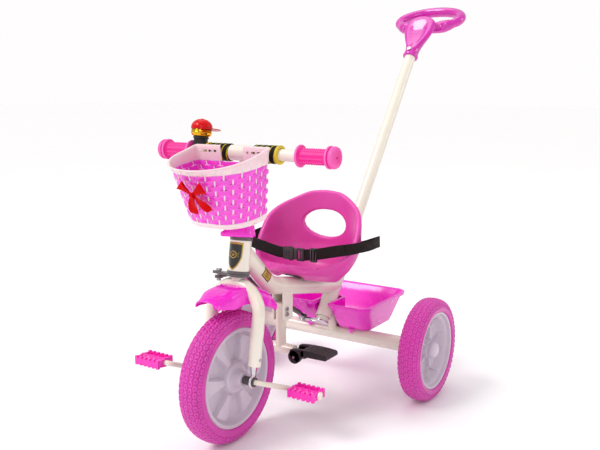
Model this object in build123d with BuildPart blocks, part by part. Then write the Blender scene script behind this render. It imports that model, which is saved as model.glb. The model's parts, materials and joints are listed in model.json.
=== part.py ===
"""Children's tricycle: pedalled front wheel, basket, bucket, folding footrests and a steering push pole.

Frame of the model: +Z is up, the rider faces -Y and the rider's left is +X. The origin is on the floor
under the middle of the whole tricycle. Lengths are in millimetres and angles in degrees.
"""
from build123d import *
import os
from math import atan2, cos, degrees, radians, sin

os.makedirs("parts", exist_ok=True)

# ---- driving dimensions --------------------------------------------------------------------------
REAR_Y = -21.0            # rear axle, placed so that the whole tricycle is centred on the origin
WHEELBASE = 392.0
FRONT_Y = REAR_Y - WHEELBASE
FRONT_R = 127.0           # a 10 inch front tyre
REAR_R = 111.5            # rear tyres, just under 9 inches
TYRE_HALF = 24.0
RIM_HALF = 21.0
FRONT_RIM_R = 97.0
REAR_RIM_R = 84.0
REAR_TRACK = 234.0        # from the centre plane to the middle of a rear wheel
AXLE_R = 5.0
RUNNING = 0.05            # radial clearance of a shaft that turns in its hole
GAP = 0.4                 # space between faces that move past each other
WALL = 1.5                # tube wall
SCREW_R = 2.5

HEAD_TILT = 9.2           # steering axis, leaning back from the vertical
STEERER_R = 12.7
HEAD_R = 20.5
HEAD_BORE = 17.0
HEAD_LOW = 202.0          # heights along the steering axis, from the front wheel's centre
HEAD_HIGH = 260.0
FORK_R = 12.5
FORK_HALF = 55.0          # from the centre plane to a fork leg
FORK_TOP = 122.0          # where the straight legs meet the round crown
FORK_LOW = 30.0
RIVET_UP = 43.0

BAR_R = 11.0
BAR_HALF = 198.0
BAR_BACK = -14.0          # the handlebar, ahead of the steering axis
BAR_UP = 422.8

MAIN_R = 18.5
MAIN_FRONT = Vector(0, REAR_Y - 357, 369)
MAIN_BEND = Vector(0, REAR_Y - 258, 275)
MAIN_BACK = Vector(0, REAR_Y - 4, 223.2)
BEAM_R = 16.5
BEAM_HALF = 203.0
HANGER_Y = REAR_Y - 219
HANGER_BOLT_Z = (208.0, 219.0)
PEG_BAR_Z = 134.0         # footrest bar
PEG_PIVOT_X = 46.0
PEG_PIVOT_Z = 128.0

POLE_TILT = 36.0
POLE_R = 14.0
POLE_TOP = 762.0
SOCKET_R = 18.0
SOCKET_BORE = 16.0
ARM_R = 46.0              # steering arm, from the steering axis to its bolt
ROD_UP = 185.0            # steering rod's front eye, along the steering axis
ROD_BENDS = (Vector(-46.8, REAR_Y - 289, 303), Vector(-48.4, REAR_Y - 203, 241))
CRANK_ARM_R = 50.0        # crank plate, from the pole's axis to its pin
PEDAL_CRANK_R = 75.0
PEDAL_CRANK_ANGLE = -22.4  # left crank at rest, measured up from straight back

STEER = Plane(
    origin=(0, FRONT_Y, FRONT_R), x_dir=(1, 0, 0),
    z_dir=(0, sin(radians(HEAD_TILT)), cos(radians(HEAD_TILT))))
POLE = Plane(
    origin=(0, REAR_Y - 55, 151), x_dir=(1, 0, 0),
    z_dir=(0, sin(radians(POLE_TILT)), cos(radians(POLE_TILT))))
MAIN_RUN = MAIN_BACK - MAIN_BEND
MAIN_SLOPE = degrees(atan2(-MAIN_RUN.Z, MAIN_RUN.Y))
SEAT_NORMAL = Vector(0, sin(radians(MAIN_SLOPE)), cos(radians(MAIN_SLOPE)))
SEAT = Plane(
    origin=MAIN_BEND + MAIN_RUN * 0.52 + SEAT_NORMAL * MAIN_R, x_dir=(1, 0, 0), z_dir=SEAT_NORMAL)
SIDES = {"left": 1, "right": -1}


# ---- helpers -------------------------------------------------------------------------------------
def on_steer(x, back, up):
    """A point given across, behind and along the steering axis."""
    return STEER.from_local_coords(Vector(x, back, up))


def on_pole(x, back, up):
    """A point given across, behind and along the push pole."""
    return POLE.from_local_coords(Vector(x, back, up))


def save(part, name):
    part.label = name
    export_step(part, f"parts/{name}.step")


def rod(start, end, radius, bore=0):
    """A straight round bar or tube between two points."""
    start, end = Vector(*start), Vector(*end)
    with BuildPart() as bar:
        with BuildSketch(Plane(origin=start, z_dir=end - start)):
            Circle(radius)
            if bore:
                Circle(bore, mode=Mode.SUBTRACT)
        extrude(amount=(end - start).length)
    return bar.part


def swept(path, radius, bore=0):
    """A round bar or tube along a path."""
    with BuildPart() as tube:
        with BuildSketch(Plane(origin=path @ 0, z_dir=path % 0)):
            Circle(radius)
            if bore:
                Circle(bore, mode=Mode.SUBTRACT)
        sweep(path=path)
    return tube.part


def bent(points, bend, radius, bore=0):
    """A round bar or tube along straight runs joined by bends."""
    with BuildLine() as path:
        FilletPolyline(*points, radius=bend)
    return swept(path.wire(), radius, bore)


def ring(plane, low, high, radius, bore):
    """A collar around a plane's axis, between two heights."""
    with BuildPart() as collar:
        with BuildSketch(plane.offset(low)):
            Circle(radius)
            if bore:
                Circle(bore, mode=Mode.SUBTRACT)
        extrude(amount=high - low)
    return collar.part


def group(*pieces):
    """Separate solids that share one node."""
    with BuildPart() as pieces_together:
        for piece in pieces:
            add(piece)
    return pieces_together.part


def turned(origin, axis, profile):
    """A solid of revolution about an axis through origin: profile points are (along, radius)."""
    axis = Vector(*axis).normalized()
    side = Vector(0, 0, 1) if abs(axis.Z) < 0.5 else Vector(0, -1, 0)
    side = (side - axis * side.dot(axis)).normalized()
    plane = Plane(origin=origin, x_dir=axis, z_dir=axis.cross(side))
    with BuildPart() as lathe:
        with BuildSketch(plane):
            with BuildLine():
                Polyline(*profile, close=True)
            make_face()
        revolve(axis=Axis(origin, axis))
    return lathe.part


def screw(plane, length, radius=SCREW_R):
    """A round-headed socket screw: its head stands on the plane and its shank goes down from it."""
    with BuildPart() as bolt:
        with BuildSketch(plane.offset(-length)):
            Circle(radius)
        extrude(amount=length)
        with BuildSketch(plane):
            Circle(1.9 * radius)
        extrude(amount=1.3 * radius)
        with BuildSketch(plane.offset(1.3 * radius)):
            RegularPolygon(0.9 * radius, 6)
        extrude(amount=-0.8 * radius, mode=Mode.SUBTRACT)
    return bolt.part


# ---- frame ---------------------------------------------------------------------------------------
SEAT_SCREW_V = (-32.0, 32.0)      # along the seat bracket
BRACKET_T = 3.0
PAN_T = 5.0
BUCKET_SCREW_X = (-78.0, 78.0)
BUCKET_FLOOR_Z = REAR_R + BEAM_R + 0.3
BUCKET_T = 3.0
CHEEK_T = 3.0


def hanger_screw_planes():
    return [Plane(origin=(BAR_R + CHEEK_T, HANGER_Y, z), z_dir=(1, 0, 0)) for z in HANGER_BOLT_Z]


def seat_screw_planes():
    top = SEAT.offset(BRACKET_T + PAN_T)
    return [Plane(origin=top.from_local_coords(Vector(0, v, 0)), z_dir=SEAT_NORMAL) for v in SEAT_SCREW_V]


def bucket_screw_planes():
    top = BUCKET_FLOOR_Z + BUCKET_T
    return [Plane(origin=(x, REAR_Y, top), z_dir=(0, 0, 1)) for x in BUCKET_SCREW_X]


def frame_screws():
    """Hanger, seat and bucket screws."""
    hanger = [screw(plane, 2 * (BAR_R + CHEEK_T) + 3) for plane in hanger_screw_planes()]
    seat = [screw(plane, BRACKET_T + PAN_T + 5) for plane in seat_screw_planes()]
    bucket = [screw(plane, BUCKET_T + 5) for plane in bucket_screw_planes()]
    return group(*hanger, *seat, *bucket)


def screw_holes(planes, length):
    """Clearance holes for screws whose heads stand on the given planes."""
    return group(*[ring(plane, -length, 6, SCREW_R + 0.2, 0) for plane in planes])


def main_frame():
    """Head tube with the bent main tube welded to it, coped to the pole socket at the back."""
    with BuildPart() as frame:
        add(bent([MAIN_FRONT, MAIN_BEND, MAIN_BACK], 85, MAIN_R, MAIN_R - WALL))
        add(ring(STEER, HEAD_LOW, HEAD_HIGH, HEAD_R, 0))
        add(ring(STEER, HEAD_LOW - 30, HEAD_HIGH + 60, HEAD_BORE, 0), mode=Mode.SUBTRACT)
        add(ring(POLE, -60, 240, SOCKET_R, 0), mode=Mode.SUBTRACT)
        add(screw_holes(seat_screw_planes(), 20), mode=Mode.SUBTRACT)
    return frame.part.solids().sort_by(SortBy.VOLUME)[-1]


def rear_frame():
    """Cross beam, the slanted socket of the push pole, and the stay between them."""
    left, right = (BEAM_HALF, REAR_Y, REAR_R), (-BEAM_HALF, REAR_Y, REAR_R)
    stay_top, stay_foot = (0, REAR_Y - 33, 188), (0, REAR_Y, REAR_R)
    with BuildPart() as frame:
        add(rod(left, right, BEAM_R))
        add(rod(stay_top, stay_foot, 12.5))
        add(ring(POLE, 8, 158, SOCKET_R, 0))
        add(rod(stay_top, stay_foot, 11.0), mode=Mode.SUBTRACT)
        add(rod(left, right, BEAM_R - 2), mode=Mode.SUBTRACT)
        add(ring(POLE, -20, 200, SOCKET_BORE, 0), mode=Mode.SUBTRACT)
        add(screw_holes(bucket_screw_planes(), 12), mode=Mode.SUBTRACT)
    return frame.part


def headset_cups():
    return group(
        ring(STEER, HEAD_LOW - 5.5, HEAD_LOW, HEAD_R + 1, STEERER_R + 0.5),
        ring(STEER, HEAD_HIGH, HEAD_HIGH + 6, HEAD_R + 1, STEERER_R + 0.5))


def headset_bearings():
    bore = STEERER_R + RUNNING
    return group(
        ring(STEER, HEAD_LOW, HEAD_LOW + 12, HEAD_BORE, bore),
        ring(STEER, HEAD_HIGH - 12, HEAD_HIGH, HEAD_BORE, bore))


def hanger_bracket():
    """A folded plate under the main tube that holds the footrest carrier between its cheeks."""
    outside = BAR_R + CHEEK_T
    with BuildPart() as bracket:
        with BuildSketch(Plane(origin=(-outside, HANGER_Y + 6, 230), x_dir=(0, 1, 0), z_dir=(1, 0, 0))) as side:
            Rectangle(34, 72)
            fillet(side.vertices().group_by(Axis.Z)[0], 6)
        extrude(amount=2 * outside)
        with Locations((0, HANGER_Y + 6 - CHEEK_T, 230)):
            Box(2 * BAR_R, 34, 82, mode=Mode.SUBTRACT)
        add(rod(MAIN_BEND - MAIN_RUN * 0.5, MAIN_BACK, MAIN_R), mode=Mode.SUBTRACT)
        add(screw_holes(hanger_screw_planes(), 40), mode=Mode.SUBTRACT)
    return bracket.part.solids().sort_by(Axis.Z)[0]


def footrest_carrier():
    """Post under the bracket with a cross bar, and a flat lug at each end for the footrest pin."""
    with BuildPart() as carrier:
        add(rod((0, HANGER_Y, PEG_BAR_Z), (0, HANGER_Y, 232), BAR_R))
        add(rod((-34, HANGER_Y, PEG_BAR_Z), (34, HANGER_Y, PEG_BAR_Z), BAR_R))
        for side in SIDES.values():
            with BuildSketch(Plane(origin=(0, HANGER_Y - 6, 0), x_dir=(1, 0, 0), z_dir=(0, 1, 0))):
                with Locations((side * PEG_PIVOT_X, -PEG_PIVOT_Z)):
                    Circle(8)
                with Locations((side * (PEG_PIVOT_X - 10), -PEG_PIVOT_Z)):
                    Rectangle(20, 16)
            extrude(amount=12)
        add(footrest_pins(3.05), mode=Mode.SUBTRACT)
        add(screw_holes(hanger_screw_planes(), 40), mode=Mode.SUBTRACT)
        fillet(carrier.edges().filter_by(GeomType.CIRCLE).group_by(Axis.Z)[-1], 1)
    return carrier.part


def footrest_pins(radius=3.0):
    """Pins that the footrests fold on, along Y."""
    return group(*[
        rod((side * PEG_PIVOT_X, HANGER_Y - 23.5, PEG_PIVOT_Z),
            (side * PEG_PIVOT_X, HANGER_Y + 23.5, PEG_PIVOT_Z), radius) for side in SIDES.values()])


def rear_axle():
    return rod((-250.5, REAR_Y, REAR_R), (250.5, REAR_Y, REAR_R), AXLE_R)


def axle_nuts():
    """A hexagon nut outside each rear hub."""
    nuts = []
    for side in SIDES.values():
        with BuildPart() as nut:
            with BuildSketch(Plane(origin=(side * 242.4, REAR_Y, REAR_R), z_dir=(side, 0, 0))):
                RegularPolygon(9, 6)
                Circle(AXLE_R, mode=Mode.SUBTRACT)
            extrude(amount=6)
        nuts.append(nut.part)
    return group(*nuts)


def beam_spacers():
    """Black plugs that centre the axle in the ends of the beam."""
    spacers = []
    for side in SIDES.values():
        end = (side * BEAM_HALF, REAR_Y, REAR_R)
        spacers.append(turned(end, (side, 0, 0), [
            (-14, AXLE_R), (-14, BEAM_R - 2), (0, BEAM_R - 2), (0, BEAM_R - 1), (5.5, BEAM_R - 3),
            (5.5, AXLE_R)]))
    return group(*spacers)


def pole_bushes():
    """Plastic bushes in both ends of the pole socket."""
    bore = POLE_R + RUNNING
    lower = ring(POLE, 8, 28, SOCKET_BORE, bore)
    with BuildPart() as upper:
        add(ring(POLE, 132, 158, SOCKET_BORE, bore))
        add(ring(POLE, 158, 161, SOCKET_R, bore))
    return group(lower, upper.part)


# ---- seat and belt -------------------------------------------------------------------------------
SEAT_Y = REAR_Y - 125       # middle of the seat seen from above
SEAT_HALF_X = 122.0
SEAT_HALF_Y = 95.0
SEAT_TOP = 446.0
SHELL_T = 11.0


def seat_bracket():
    """Steel plate between the main tube and the seat pan."""
    with BuildPart() as bracket:
        with BuildSketch(SEAT):
            RectangleRounded(56, 96, 10)
        extrude(amount=BRACKET_T)
        add(screw_holes(seat_screw_planes(), 20), mode=Mode.SUBTRACT)
    return bracket.part


def seat_body(inset):
    """The closed tub that the seat shell is cut from, its walls inset."""
    floor = SEAT.offset(BRACKET_T + (PAN_T if inset else 0))
    with BuildPart() as tub:
        with BuildSketch(floor):
            Ellipse(74 - inset, 70 - inset)
        with BuildSketch(Plane(origin=(0, SEAT_Y, 325))):
            Ellipse(SEAT_HALF_X - 4 - inset, SEAT_HALF_Y - 2 - inset)
        with BuildSketch(Plane(origin=(0, SEAT_Y, 385))):
            Ellipse(SEAT_HALF_X - inset, SEAT_HALF_Y - inset)
        with BuildSketch(Plane(origin=(0, SEAT_Y - 2, SEAT_TOP + 20))):
            Ellipse(SEAT_HALF_X - 8 - inset, SEAT_HALF_Y - 2 - inset)
        loft()
    return tub.part


def seat():
    """Moulded bucket seat: high back with a hand hole, low front with two leg hollows."""
    front, back = SEAT_Y - 130, SEAT_Y + 130
    with BuildPart() as shell:
        add(seat_body(0))
        add(seat_body(SHELL_T), mode=Mode.SUBTRACT)
        with BuildSketch(Plane.YZ.offset(-200)):
            with BuildLine():
                rim = Spline(
                    (front, 300), (SEAT_Y - 62, 307), (SEAT_Y - 32, 321), (SEAT_Y + 3, 346),
                    (SEAT_Y + 25, 387), (SEAT_Y + 48, 406), (SEAT_Y + 94, 446))
                Polyline(rim @ 1, (back, 446), (back, 600), (front, 600), (front, 300))
            make_face()
        extrude(amount=400, mode=Mode.SUBTRACT)
        with BuildSketch(Plane(origin=(0, back, 455), x_dir=(1, 0, 0), z_dir=(0, -1, 0))):
            with BuildLine():
                Line((-140, 60), (-140, -60))
                Spline((-140, -60), (-108, -42), (-72, -22), (0, -9), (72, -22), (108, -42), (140, -60))
                Line((140, -60), (140, 60))
                Line((140, 60), (-140, 60))
            make_face()
        extrude(amount=150, mode=Mode.SUBTRACT)
        with BuildSketch(Plane(origin=(0, back, 371), x_dir=(1, 0, 0), z_dir=(0, -1, 0))):
            Ellipse(57, 33)
        extrude(amount=150, mode=Mode.SUBTRACT)
        for side in SIDES.values():
            with BuildSketch(Plane(origin=(side * 50, front, 318), x_dir=(1, 0, 0), z_dir=(0, -1, 0))):
                Ellipse(34, 22)
            extrude(amount=-75, mode=Mode.SUBTRACT)
        add(screw_holes(seat_screw_planes(), 20), mode=Mode.SUBTRACT)
    return shell.part.solids().sort_by(SortBy.VOLUME)[-1]


BELT_LOW = 323.0
BELT_W = 24.0
BELT_T = 1.6
BUCKLE_X = (-31.0, 21.0)
BUCKLE_Y = REAR_Y - 162
SLIDER_X = 44.0
BELT_ROUTE = [
    (-134, -162), (124, -162), (148, -120), (150, -70), (110, -12), (0, -8),
    (-110, -12), (-136, -80)]


def belt_loop(amount):
    """The belt's closed route seen from above, moved out by an amount."""
    route = [(x, REAR_Y + y) for x, y in BELT_ROUTE]
    with BuildSketch() as loop:
        with BuildLine():
            FilletPolyline(*route, radius=14, close=True)
        make_face()
        offset(amount=amount)
    return loop.sketch


def belt_band(thickness, low, high):
    """A closed upright band along the belt's route."""
    with BuildPart() as band:
        with BuildSketch(Plane.XY.offset(low)):
            add(belt_loop(thickness / 2))
            add(belt_loop(-thickness / 2), mode=Mode.SUBTRACT)
        extrude(amount=high - low)
    return band.part


def seat_belt():
    """Webbing round the seat, open where the buckle sits."""
    middle = (BUCKLE_X[0] + BUCKLE_X[1]) / 2
    length = BUCKLE_X[1] - BUCKLE_X[0]
    with BuildPart() as belt:
        add(belt_band(BELT_T, BELT_LOW, BELT_LOW + BELT_W))
        with Locations((middle, BUCKLE_Y, BELT_LOW + BELT_W / 2)):
            Box(length + 1, 30, 60, mode=Mode.SUBTRACT)
    return belt.part


def buckle_half(start, end):
    """One half of the side-release buckle, a rounded block between two positions across the seat."""
    with BuildPart() as half:
        with BuildSketch(Plane(origin=(start, BUCKLE_Y, BELT_LOW + BELT_W / 2), z_dir=(1, 0, 0))):
            RectangleRounded(28, 10, 3)
        extrude(amount=end - start)
    return half.part


def belt_slider():
    """Strap adjuster: a frame around the webbing."""
    with BuildPart() as slider:
        with Locations((SLIDER_X, BUCKLE_Y, BELT_LOW + BELT_W / 2)):
            Box(14, 7, 30)
        fillet(slider.edges().filter_by(Axis.Y), 2)
        add(belt_band(BELT_T + 0.6, BELT_LOW - 0.3, BELT_LOW + BELT_W + 0.3), mode=Mode.SUBTRACT)
    return slider.part


# ---- bucket --------------------------------------------------------------------------------------
BUCKET_RIM_Z = 195.0
BUCKET_HALF = 119.0
BUCKET_FRONT = REAR_Y - 68
BUCKET_BACK = REAR_Y + 148
NOTCH_HALF = 21.5
NOTCH_BACK = REAR_Y + 16


def bucket_section(z, inset):
    """Level section of the tub, which narrows downwards, with its walls inset."""
    share = (z - BUCKET_FLOOR_Z) / (BUCKET_RIM_Z - BUCKET_FLOOR_Z)
    half = 97 + share * (BUCKET_HALF - 5 - 97) - inset
    front = REAR_Y - 16 + share * (BUCKET_FRONT + 5 - REAR_Y + 16) + inset
    back = REAR_Y + 108 + share * (BUCKET_BACK - 5 - REAR_Y - 108) - inset
    with BuildSketch(Plane(origin=(0, (front + back) / 2, z))) as section:
        RectangleRounded(2 * half, back - front, 24 - inset)
    return section.sketch


def bucket_block(inset, low, high):
    with BuildPart() as block:
        add(bucket_section(low, inset))
        add(bucket_section(high, inset))
        loft()
    return block.part


def bucket_notch(widen):
    """The slot at the front that leaves room for the pole socket and the stay."""
    back = NOTCH_BACK + widen
    with BuildPart() as notch:
        with BuildSketch(Plane.XY.offset(BUCKET_FLOOR_Z)):
            with Locations((0, (back + BUCKET_FRONT - 40) / 2)):
                Rectangle(2 * (NOTCH_HALF + widen), back - BUCKET_FRONT + 40)
        extrude(amount=90)
        fillet(notch.edges().filter_by(Axis.Z).group_by(Axis.Y)[-1], 14)
    return notch.part


def bucket_hollow():
    with BuildPart() as hollow:
        add(bucket_block(BUCKET_T, BUCKET_FLOOR_Z + BUCKET_T, BUCKET_RIM_Z + 1))
        add(bucket_notch(BUCKET_T), mode=Mode.SUBTRACT)
    return hollow.part


def rear_bucket():
    """Open tub on the rear beam, with a rolled rim and two small lugs in front of the beam."""
    with BuildPart() as tub:
        add(bucket_block(0, BUCKET_FLOOR_Z, BUCKET_RIM_Z))
        with BuildSketch(Plane(origin=(0, (BUCKET_FRONT + BUCKET_BACK) / 2, BUCKET_RIM_Z - 8))):
            RectangleRounded(2 * BUCKET_HALF, BUCKET_BACK - BUCKET_FRONT, 28)
        extrude(amount=8)
        add(bucket_notch(0), mode=Mode.SUBTRACT)
        add(bucket_hollow(), mode=Mode.SUBTRACT)
        for side in SIDES.values():
            with BuildSketch(Plane.XZ.offset(-(REAR_Y - BEAM_R - 0.4))):
                with Locations((side * 55, BUCKET_FLOOR_Z)):
                    Polygon((-7, 3), (7, 3), (0, -9), align=None)
            extrude(amount=3)
        add(screw_holes(bucket_screw_planes(), 12), mode=Mode.SUBTRACT)
    return tub.part.solids().sort_by(SortBy.VOLUME)[-1]


# ---- badge and label -----------------------------------------------------------------------------
def shield(scale):
    with BuildSketch() as outline:
        with BuildLine():
            Line((-15 * scale, 20 * scale), (15 * scale, 20 * scale))
            Spline((15 * scale, 20 * scale), (15 * scale, 0), (0, -24 * scale))
            Spline((0, -24 * scale), (-15 * scale, 0), (-15 * scale, 20 * scale))
        make_face()
    return outline.sketch


def head_badge():
    """Plain shield stuck on the front of the head tube."""
    plane = Plane(origin=on_steer(0, 0, 232), x_dir=(1, 0, 0), z_dir=-STEER.y_dir)
    with BuildPart() as badge:
        with BuildSketch(plane):
            add(shield(1.2))
        extrude(amount=HEAD_R + 5)
        with BuildSketch(STEER):
            Circle(HEAD_R + 1.2)
        extrude(amount=400, mode=Mode.INTERSECT)
        with BuildSketch(STEER):
            Circle(HEAD_R)
        extrude(amount=400, mode=Mode.SUBTRACT)
    return badge.part


def side_label():
    """Plain rectangular label on the left of the main tube."""
    front_run = MAIN_BEND - MAIN_FRONT
    middle = MAIN_FRONT + front_run * 0.66
    skin = rod(MAIN_FRONT, MAIN_BEND, MAIN_R + 0.8, MAIN_R)
    with BuildPart() as label:
        with BuildSketch(Plane(origin=middle, x_dir=front_run.normalized(), z_dir=(1, 0, 0))):
            RectangleRounded(28, 20, 2)
        extrude(amount=MAIN_R + 5)
        add(skin, mode=Mode.INTERSECT)
    return label.part


# ---- fork and steering ---------------------------------------------------------------------------
def fork_path():
    low, high = FORK_LOW, FORK_TOP
    with BuildLine() as path:
        Line(on_steer(-FORK_HALF, 0, low), on_steer(-FORK_HALF, 0, high))
        ThreePointArc(
            on_steer(-FORK_HALF, 0, high), on_steer(0, 0, high + FORK_HALF), on_steer(FORK_HALF, 0, high))
        Line(on_steer(FORK_HALF, 0, high), on_steer(FORK_HALF, 0, low))
    return path.wire()


def rivets(radius=3.0):
    """Rivets through the fork legs and the flattened ends."""
    legs = [side * FORK_HALF for side in SIDES.values()]
    return group(*[
        rod(on_steer(x - 14, 0, RIVET_UP), on_steer(x + 14, 0, RIVET_UP), radius) for x in legs])


def guard_screw_plane():
    return Plane(origin=on_steer(0, 0, 152), z_dir=-STEER.z_dir)


def basket_screw_planes():
    return [Plane(origin=(x, BASKET_BACK - BASKET_T, BRACKET_Z), z_dir=(0, -1, 0)) for x in (-17, 17)]


def fork_blades():
    """One tube bent to an upside-down U over the front wheel."""
    with BuildPart() as blades:
        add(swept(fork_path(), FORK_R, FORK_R - WALL))
        add(rivets(3.1), mode=Mode.SUBTRACT)
        add(ring(guard_screw_plane(), -20, 2, SCREW_R + 0.2, 0), mode=Mode.SUBTRACT)
    return blades.part


def steerer_tube():
    """Upright welded on the crown, turning in the headset bearings."""
    with BuildPart() as steerer:
        add(ring(STEER, 184, 285, STEERER_R, STEERER_R - WALL))
        add(swept(fork_path(), FORK_R), mode=Mode.SUBTRACT)
    return steerer.part.solids().sort_by(SortBy.VOLUME)[-1]


def fork_ends():
    """Flat plates in the legs that carry the axle bushes."""
    ends = []
    for side in SIDES.values():
        start = on_steer(side * FORK_HALF - 2.5, 0, 0)
        with BuildPart() as end:
            with BuildSketch(Plane(origin=start, x_dir=STEER.y_dir, z_dir=(1, 0, 0))):
                Circle(13)
                with Locations((0, 24)):
                    Rectangle(19, 48)
                Circle(7.1, mode=Mode.SUBTRACT)
                with Locations((0, RIVET_UP)):
                    Circle(3.1, mode=Mode.SUBTRACT)
            extrude(amount=5)
        ends.append(end.part)
    return group(*ends)


def axle_bushes():
    """Flanged bushes in the fork ends."""
    bore = AXLE_R + RUNNING
    return group(*[
        turned((0, FRONT_Y, FRONT_R), (side, 0, 0), [
            (46, bore), (46, 9), (52.5, 9), (52.5, 7.1), (57.5, 7.1), (57.5, 9), (60, 9), (60, bore)])
        for side in SIDES.values()])


def steering_screws():
    """Rivets, mudguard screw, basket screws and the bolt that the steering rod hangs on."""
    guard = screw(guard_screw_plane(), 18)
    basket = [screw(plane, BASKET_T + 5) for plane in basket_screw_planes()]
    return group(rivets(), guard, *basket, arm_bolt(3.0))


def rod_front():
    return on_steer(-ARM_R, 0, ROD_UP)


def rod_back():
    return on_pole(-CRANK_ARM_R, 0, 3.6)


def rod_axis():
    """Axis of the rod's front eye: the rod keeps nearly level with both cranks as they turn."""
    reach = rod_back() - rod_front()
    front_move = STEER.y_dir * -ARM_R
    back_move = POLE.y_dir * -CRANK_ARM_R
    ratio = front_move.dot(reach) / back_move.dot(reach)
    tilt = reach.cross(back_move * ratio - front_move) * (1 / reach.dot(reach))
    return STEER.z_dir - tilt, ratio


def arm_bolt(radius):
    axis = rod_axis()[0].normalized()
    with BuildPart() as bolt:
        add(rod(rod_front() - axis * 8, rod_front() + axis * 12.5, radius))
        add(rod(rod_front() + axis * 12, rod_front() + axis * 15.5, 2 * radius))
        add(rod(rod_front() - axis * 8, rod_front() - axis * 4, 1.5 * radius))
    return bolt.part


def steering_arm():
    """Plate under the headset, clamped on the steerer, with an arm out to the rider's right."""
    with BuildPart() as arm:
        with BuildSketch(STEER.offset(190.6)):
            with BuildLine():
                Polyline((0, 18), (-ARM_R - 6, 8), (-ARM_R - 6, -8), (0, -18), close=True)
            make_face()
            Circle(HEAD_R + 1)
            with Locations((-ARM_R - 6, 0)):
                Circle(8)
            Circle(STEERER_R + 0.05, mode=Mode.SUBTRACT)
            with Locations((-ARM_R, 0)):
                Circle(3.8, mode=Mode.SUBTRACT)
        extrude(amount=5.2)
    return arm.part


GUARD_R = 176.0
GUARD_T = 2.5
GUARD_HALF = 36.0
GUARD_FRONT = 32.0        # the mudguard's reach ahead of and behind the fork, in degrees
GUARD_BEHIND = 38.0


def wheel_plane(angle):
    """A plane through the front axle, X across and Y out from the axle, turned back by an angle."""
    out = STEER.z_dir.rotate(Axis.X, -angle)
    return Plane(origin=(0, FRONT_Y, FRONT_R), x_dir=(1, 0, 0), z_dir=Vector(1, 0, 0).cross(out))


def mudguard():
    """Arched guard with side skirts, notched round the fork crown, with a saddle under it."""
    half, inner, skirt = GUARD_HALF, GUARD_R - GUARD_T, GUARD_R - 32
    with BuildPart() as guard:
        with BuildSketch(wheel_plane(-GUARD_FRONT)):
            with BuildLine():
                Polyline(
                    (-half, skirt), (-half, GUARD_R - 18), (-half + 14, GUARD_R), (half - 14, GUARD_R),
                    (half, GUARD_R - 18), (half, skirt), (half - GUARD_T, skirt),
                    (half - GUARD_T, inner - 16), (half - 15, inner), (-half + 15, inner),
                    (-half + GUARD_T, inner - 16), (-half + GUARD_T, skirt), close=True)
            make_face()
        revolve(axis=Axis((0, FRONT_Y, FRONT_R), (1, 0, 0)), revolution_arc=-(GUARD_FRONT + GUARD_BEHIND))
        with BuildSketch(STEER.offset(152)):
            Rectangle(60, 44)
        extrude(amount=22)
        add(swept(fork_path(), FORK_R + 0.3), mode=Mode.SUBTRACT)
        add(ring(guard_screw_plane(), -30, 2, SCREW_R + 0.2, 0), mode=Mode.SUBTRACT)
        with BuildSketch(wheel_plane(-25)):
            with BuildLine():
                Polyline((-2, 146), (2, 146), (10, inner + 1), (-10, inner + 1), close=True)
            make_face()
        extrude(amount=3)
    return guard.part.solids().sort_by(SortBy.VOLUME)[-1]


def stem_cover():
    """Plastic cover on top of the headset, drawn out to a point at the front."""
    with BuildPart() as cover:
        with BuildSketch(STEER.offset(266.6)):
            Circle(24)
            with Locations((0, -58)):
                Circle(3)
            make_hull()
        with BuildSketch(STEER.offset(274)):
            Circle(25)
            with Locations((0, -59)):
                Circle(3)
            make_hull()
        loft()
        with BuildSketch(STEER.offset(274)):
            Circle(24.5)
        with BuildSketch(STEER.offset(304)):
            Circle(17)
        loft()
        add(ring(STEER, 260, 320, STEERER_R + 0.1, 0), mode=Mode.SUBTRACT)
    return cover.part


def handlebar_stem():
    """Post in the steerer, leaning forward to the sleeve that holds the handlebar."""
    post = [on_steer(0, 0, 232), on_steer(0, 0, 384), on_steer(0, BAR_BACK, BAR_UP)]
    with BuildPart() as stem:
        add(bent(post, 45, BAR_R, BAR_R - WALL))
        add(rod(bar_point(-27), bar_point(27), 15.0))
        add(rod(bar_point(-40), bar_point(40), BAR_R), mode=Mode.SUBTRACT)
    return stem.part.solids().sort_by(SortBy.VOLUME)[-1]


def bar_point(x):
    return on_steer(x, BAR_BACK, BAR_UP)


def handlebar():
    return rod(bar_point(-BAR_HALF), bar_point(BAR_HALF), BAR_R, BAR_R - WALL)


def foam_wraps():
    return group(*[rod(bar_point(side * 28), bar_point(side * 82), 18, BAR_R) for side in SIDES.values()])


def foam_rings():
    ends = [(side * 82.2, side * 88) for side in SIDES.values()]
    return group(*[rod(bar_point(start), bar_point(end), 18.6, BAR_R) for start, end in ends])


def grip(side):
    """Moulded grip with a flange at each end and a rounded tip."""
    with BuildPart() as handle:
        add(turned(bar_point(0), (side, 0, 0), [
            (124, BAR_R), (124, 18), (126, 20.5), (130, 20.5), (132, 18), (133.5, 13.3), (181, 13.3),
            (182.5, 18), (184, 20.5), (189, 20.5), (191.5, 18), (197, 15), (201, 10), (202.5, 4),
            (202.5, 0.01), (198.2, 0.01), (198.2, BAR_R)]))
    return handle.part


# ---- basket, bow and bell ------------------------------------------------------------------------
BASKET_BACK = REAR_Y - 372.5
BASKET_TOP = 563.0
BASKET_LOW = 443.0
BASKET_T = 2.5
BRACKET_Z = 482.0
BASKET_HALF = 88.0
BASKET_DEPTH = 128.5
BASKET_LOW_HALF = 79.0
BASKET_LOW_DEPTH = 64.5
TOP_SLOPE = 15.3          # the rim falls towards the front
LOW_SLOPE = 21.0


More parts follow.
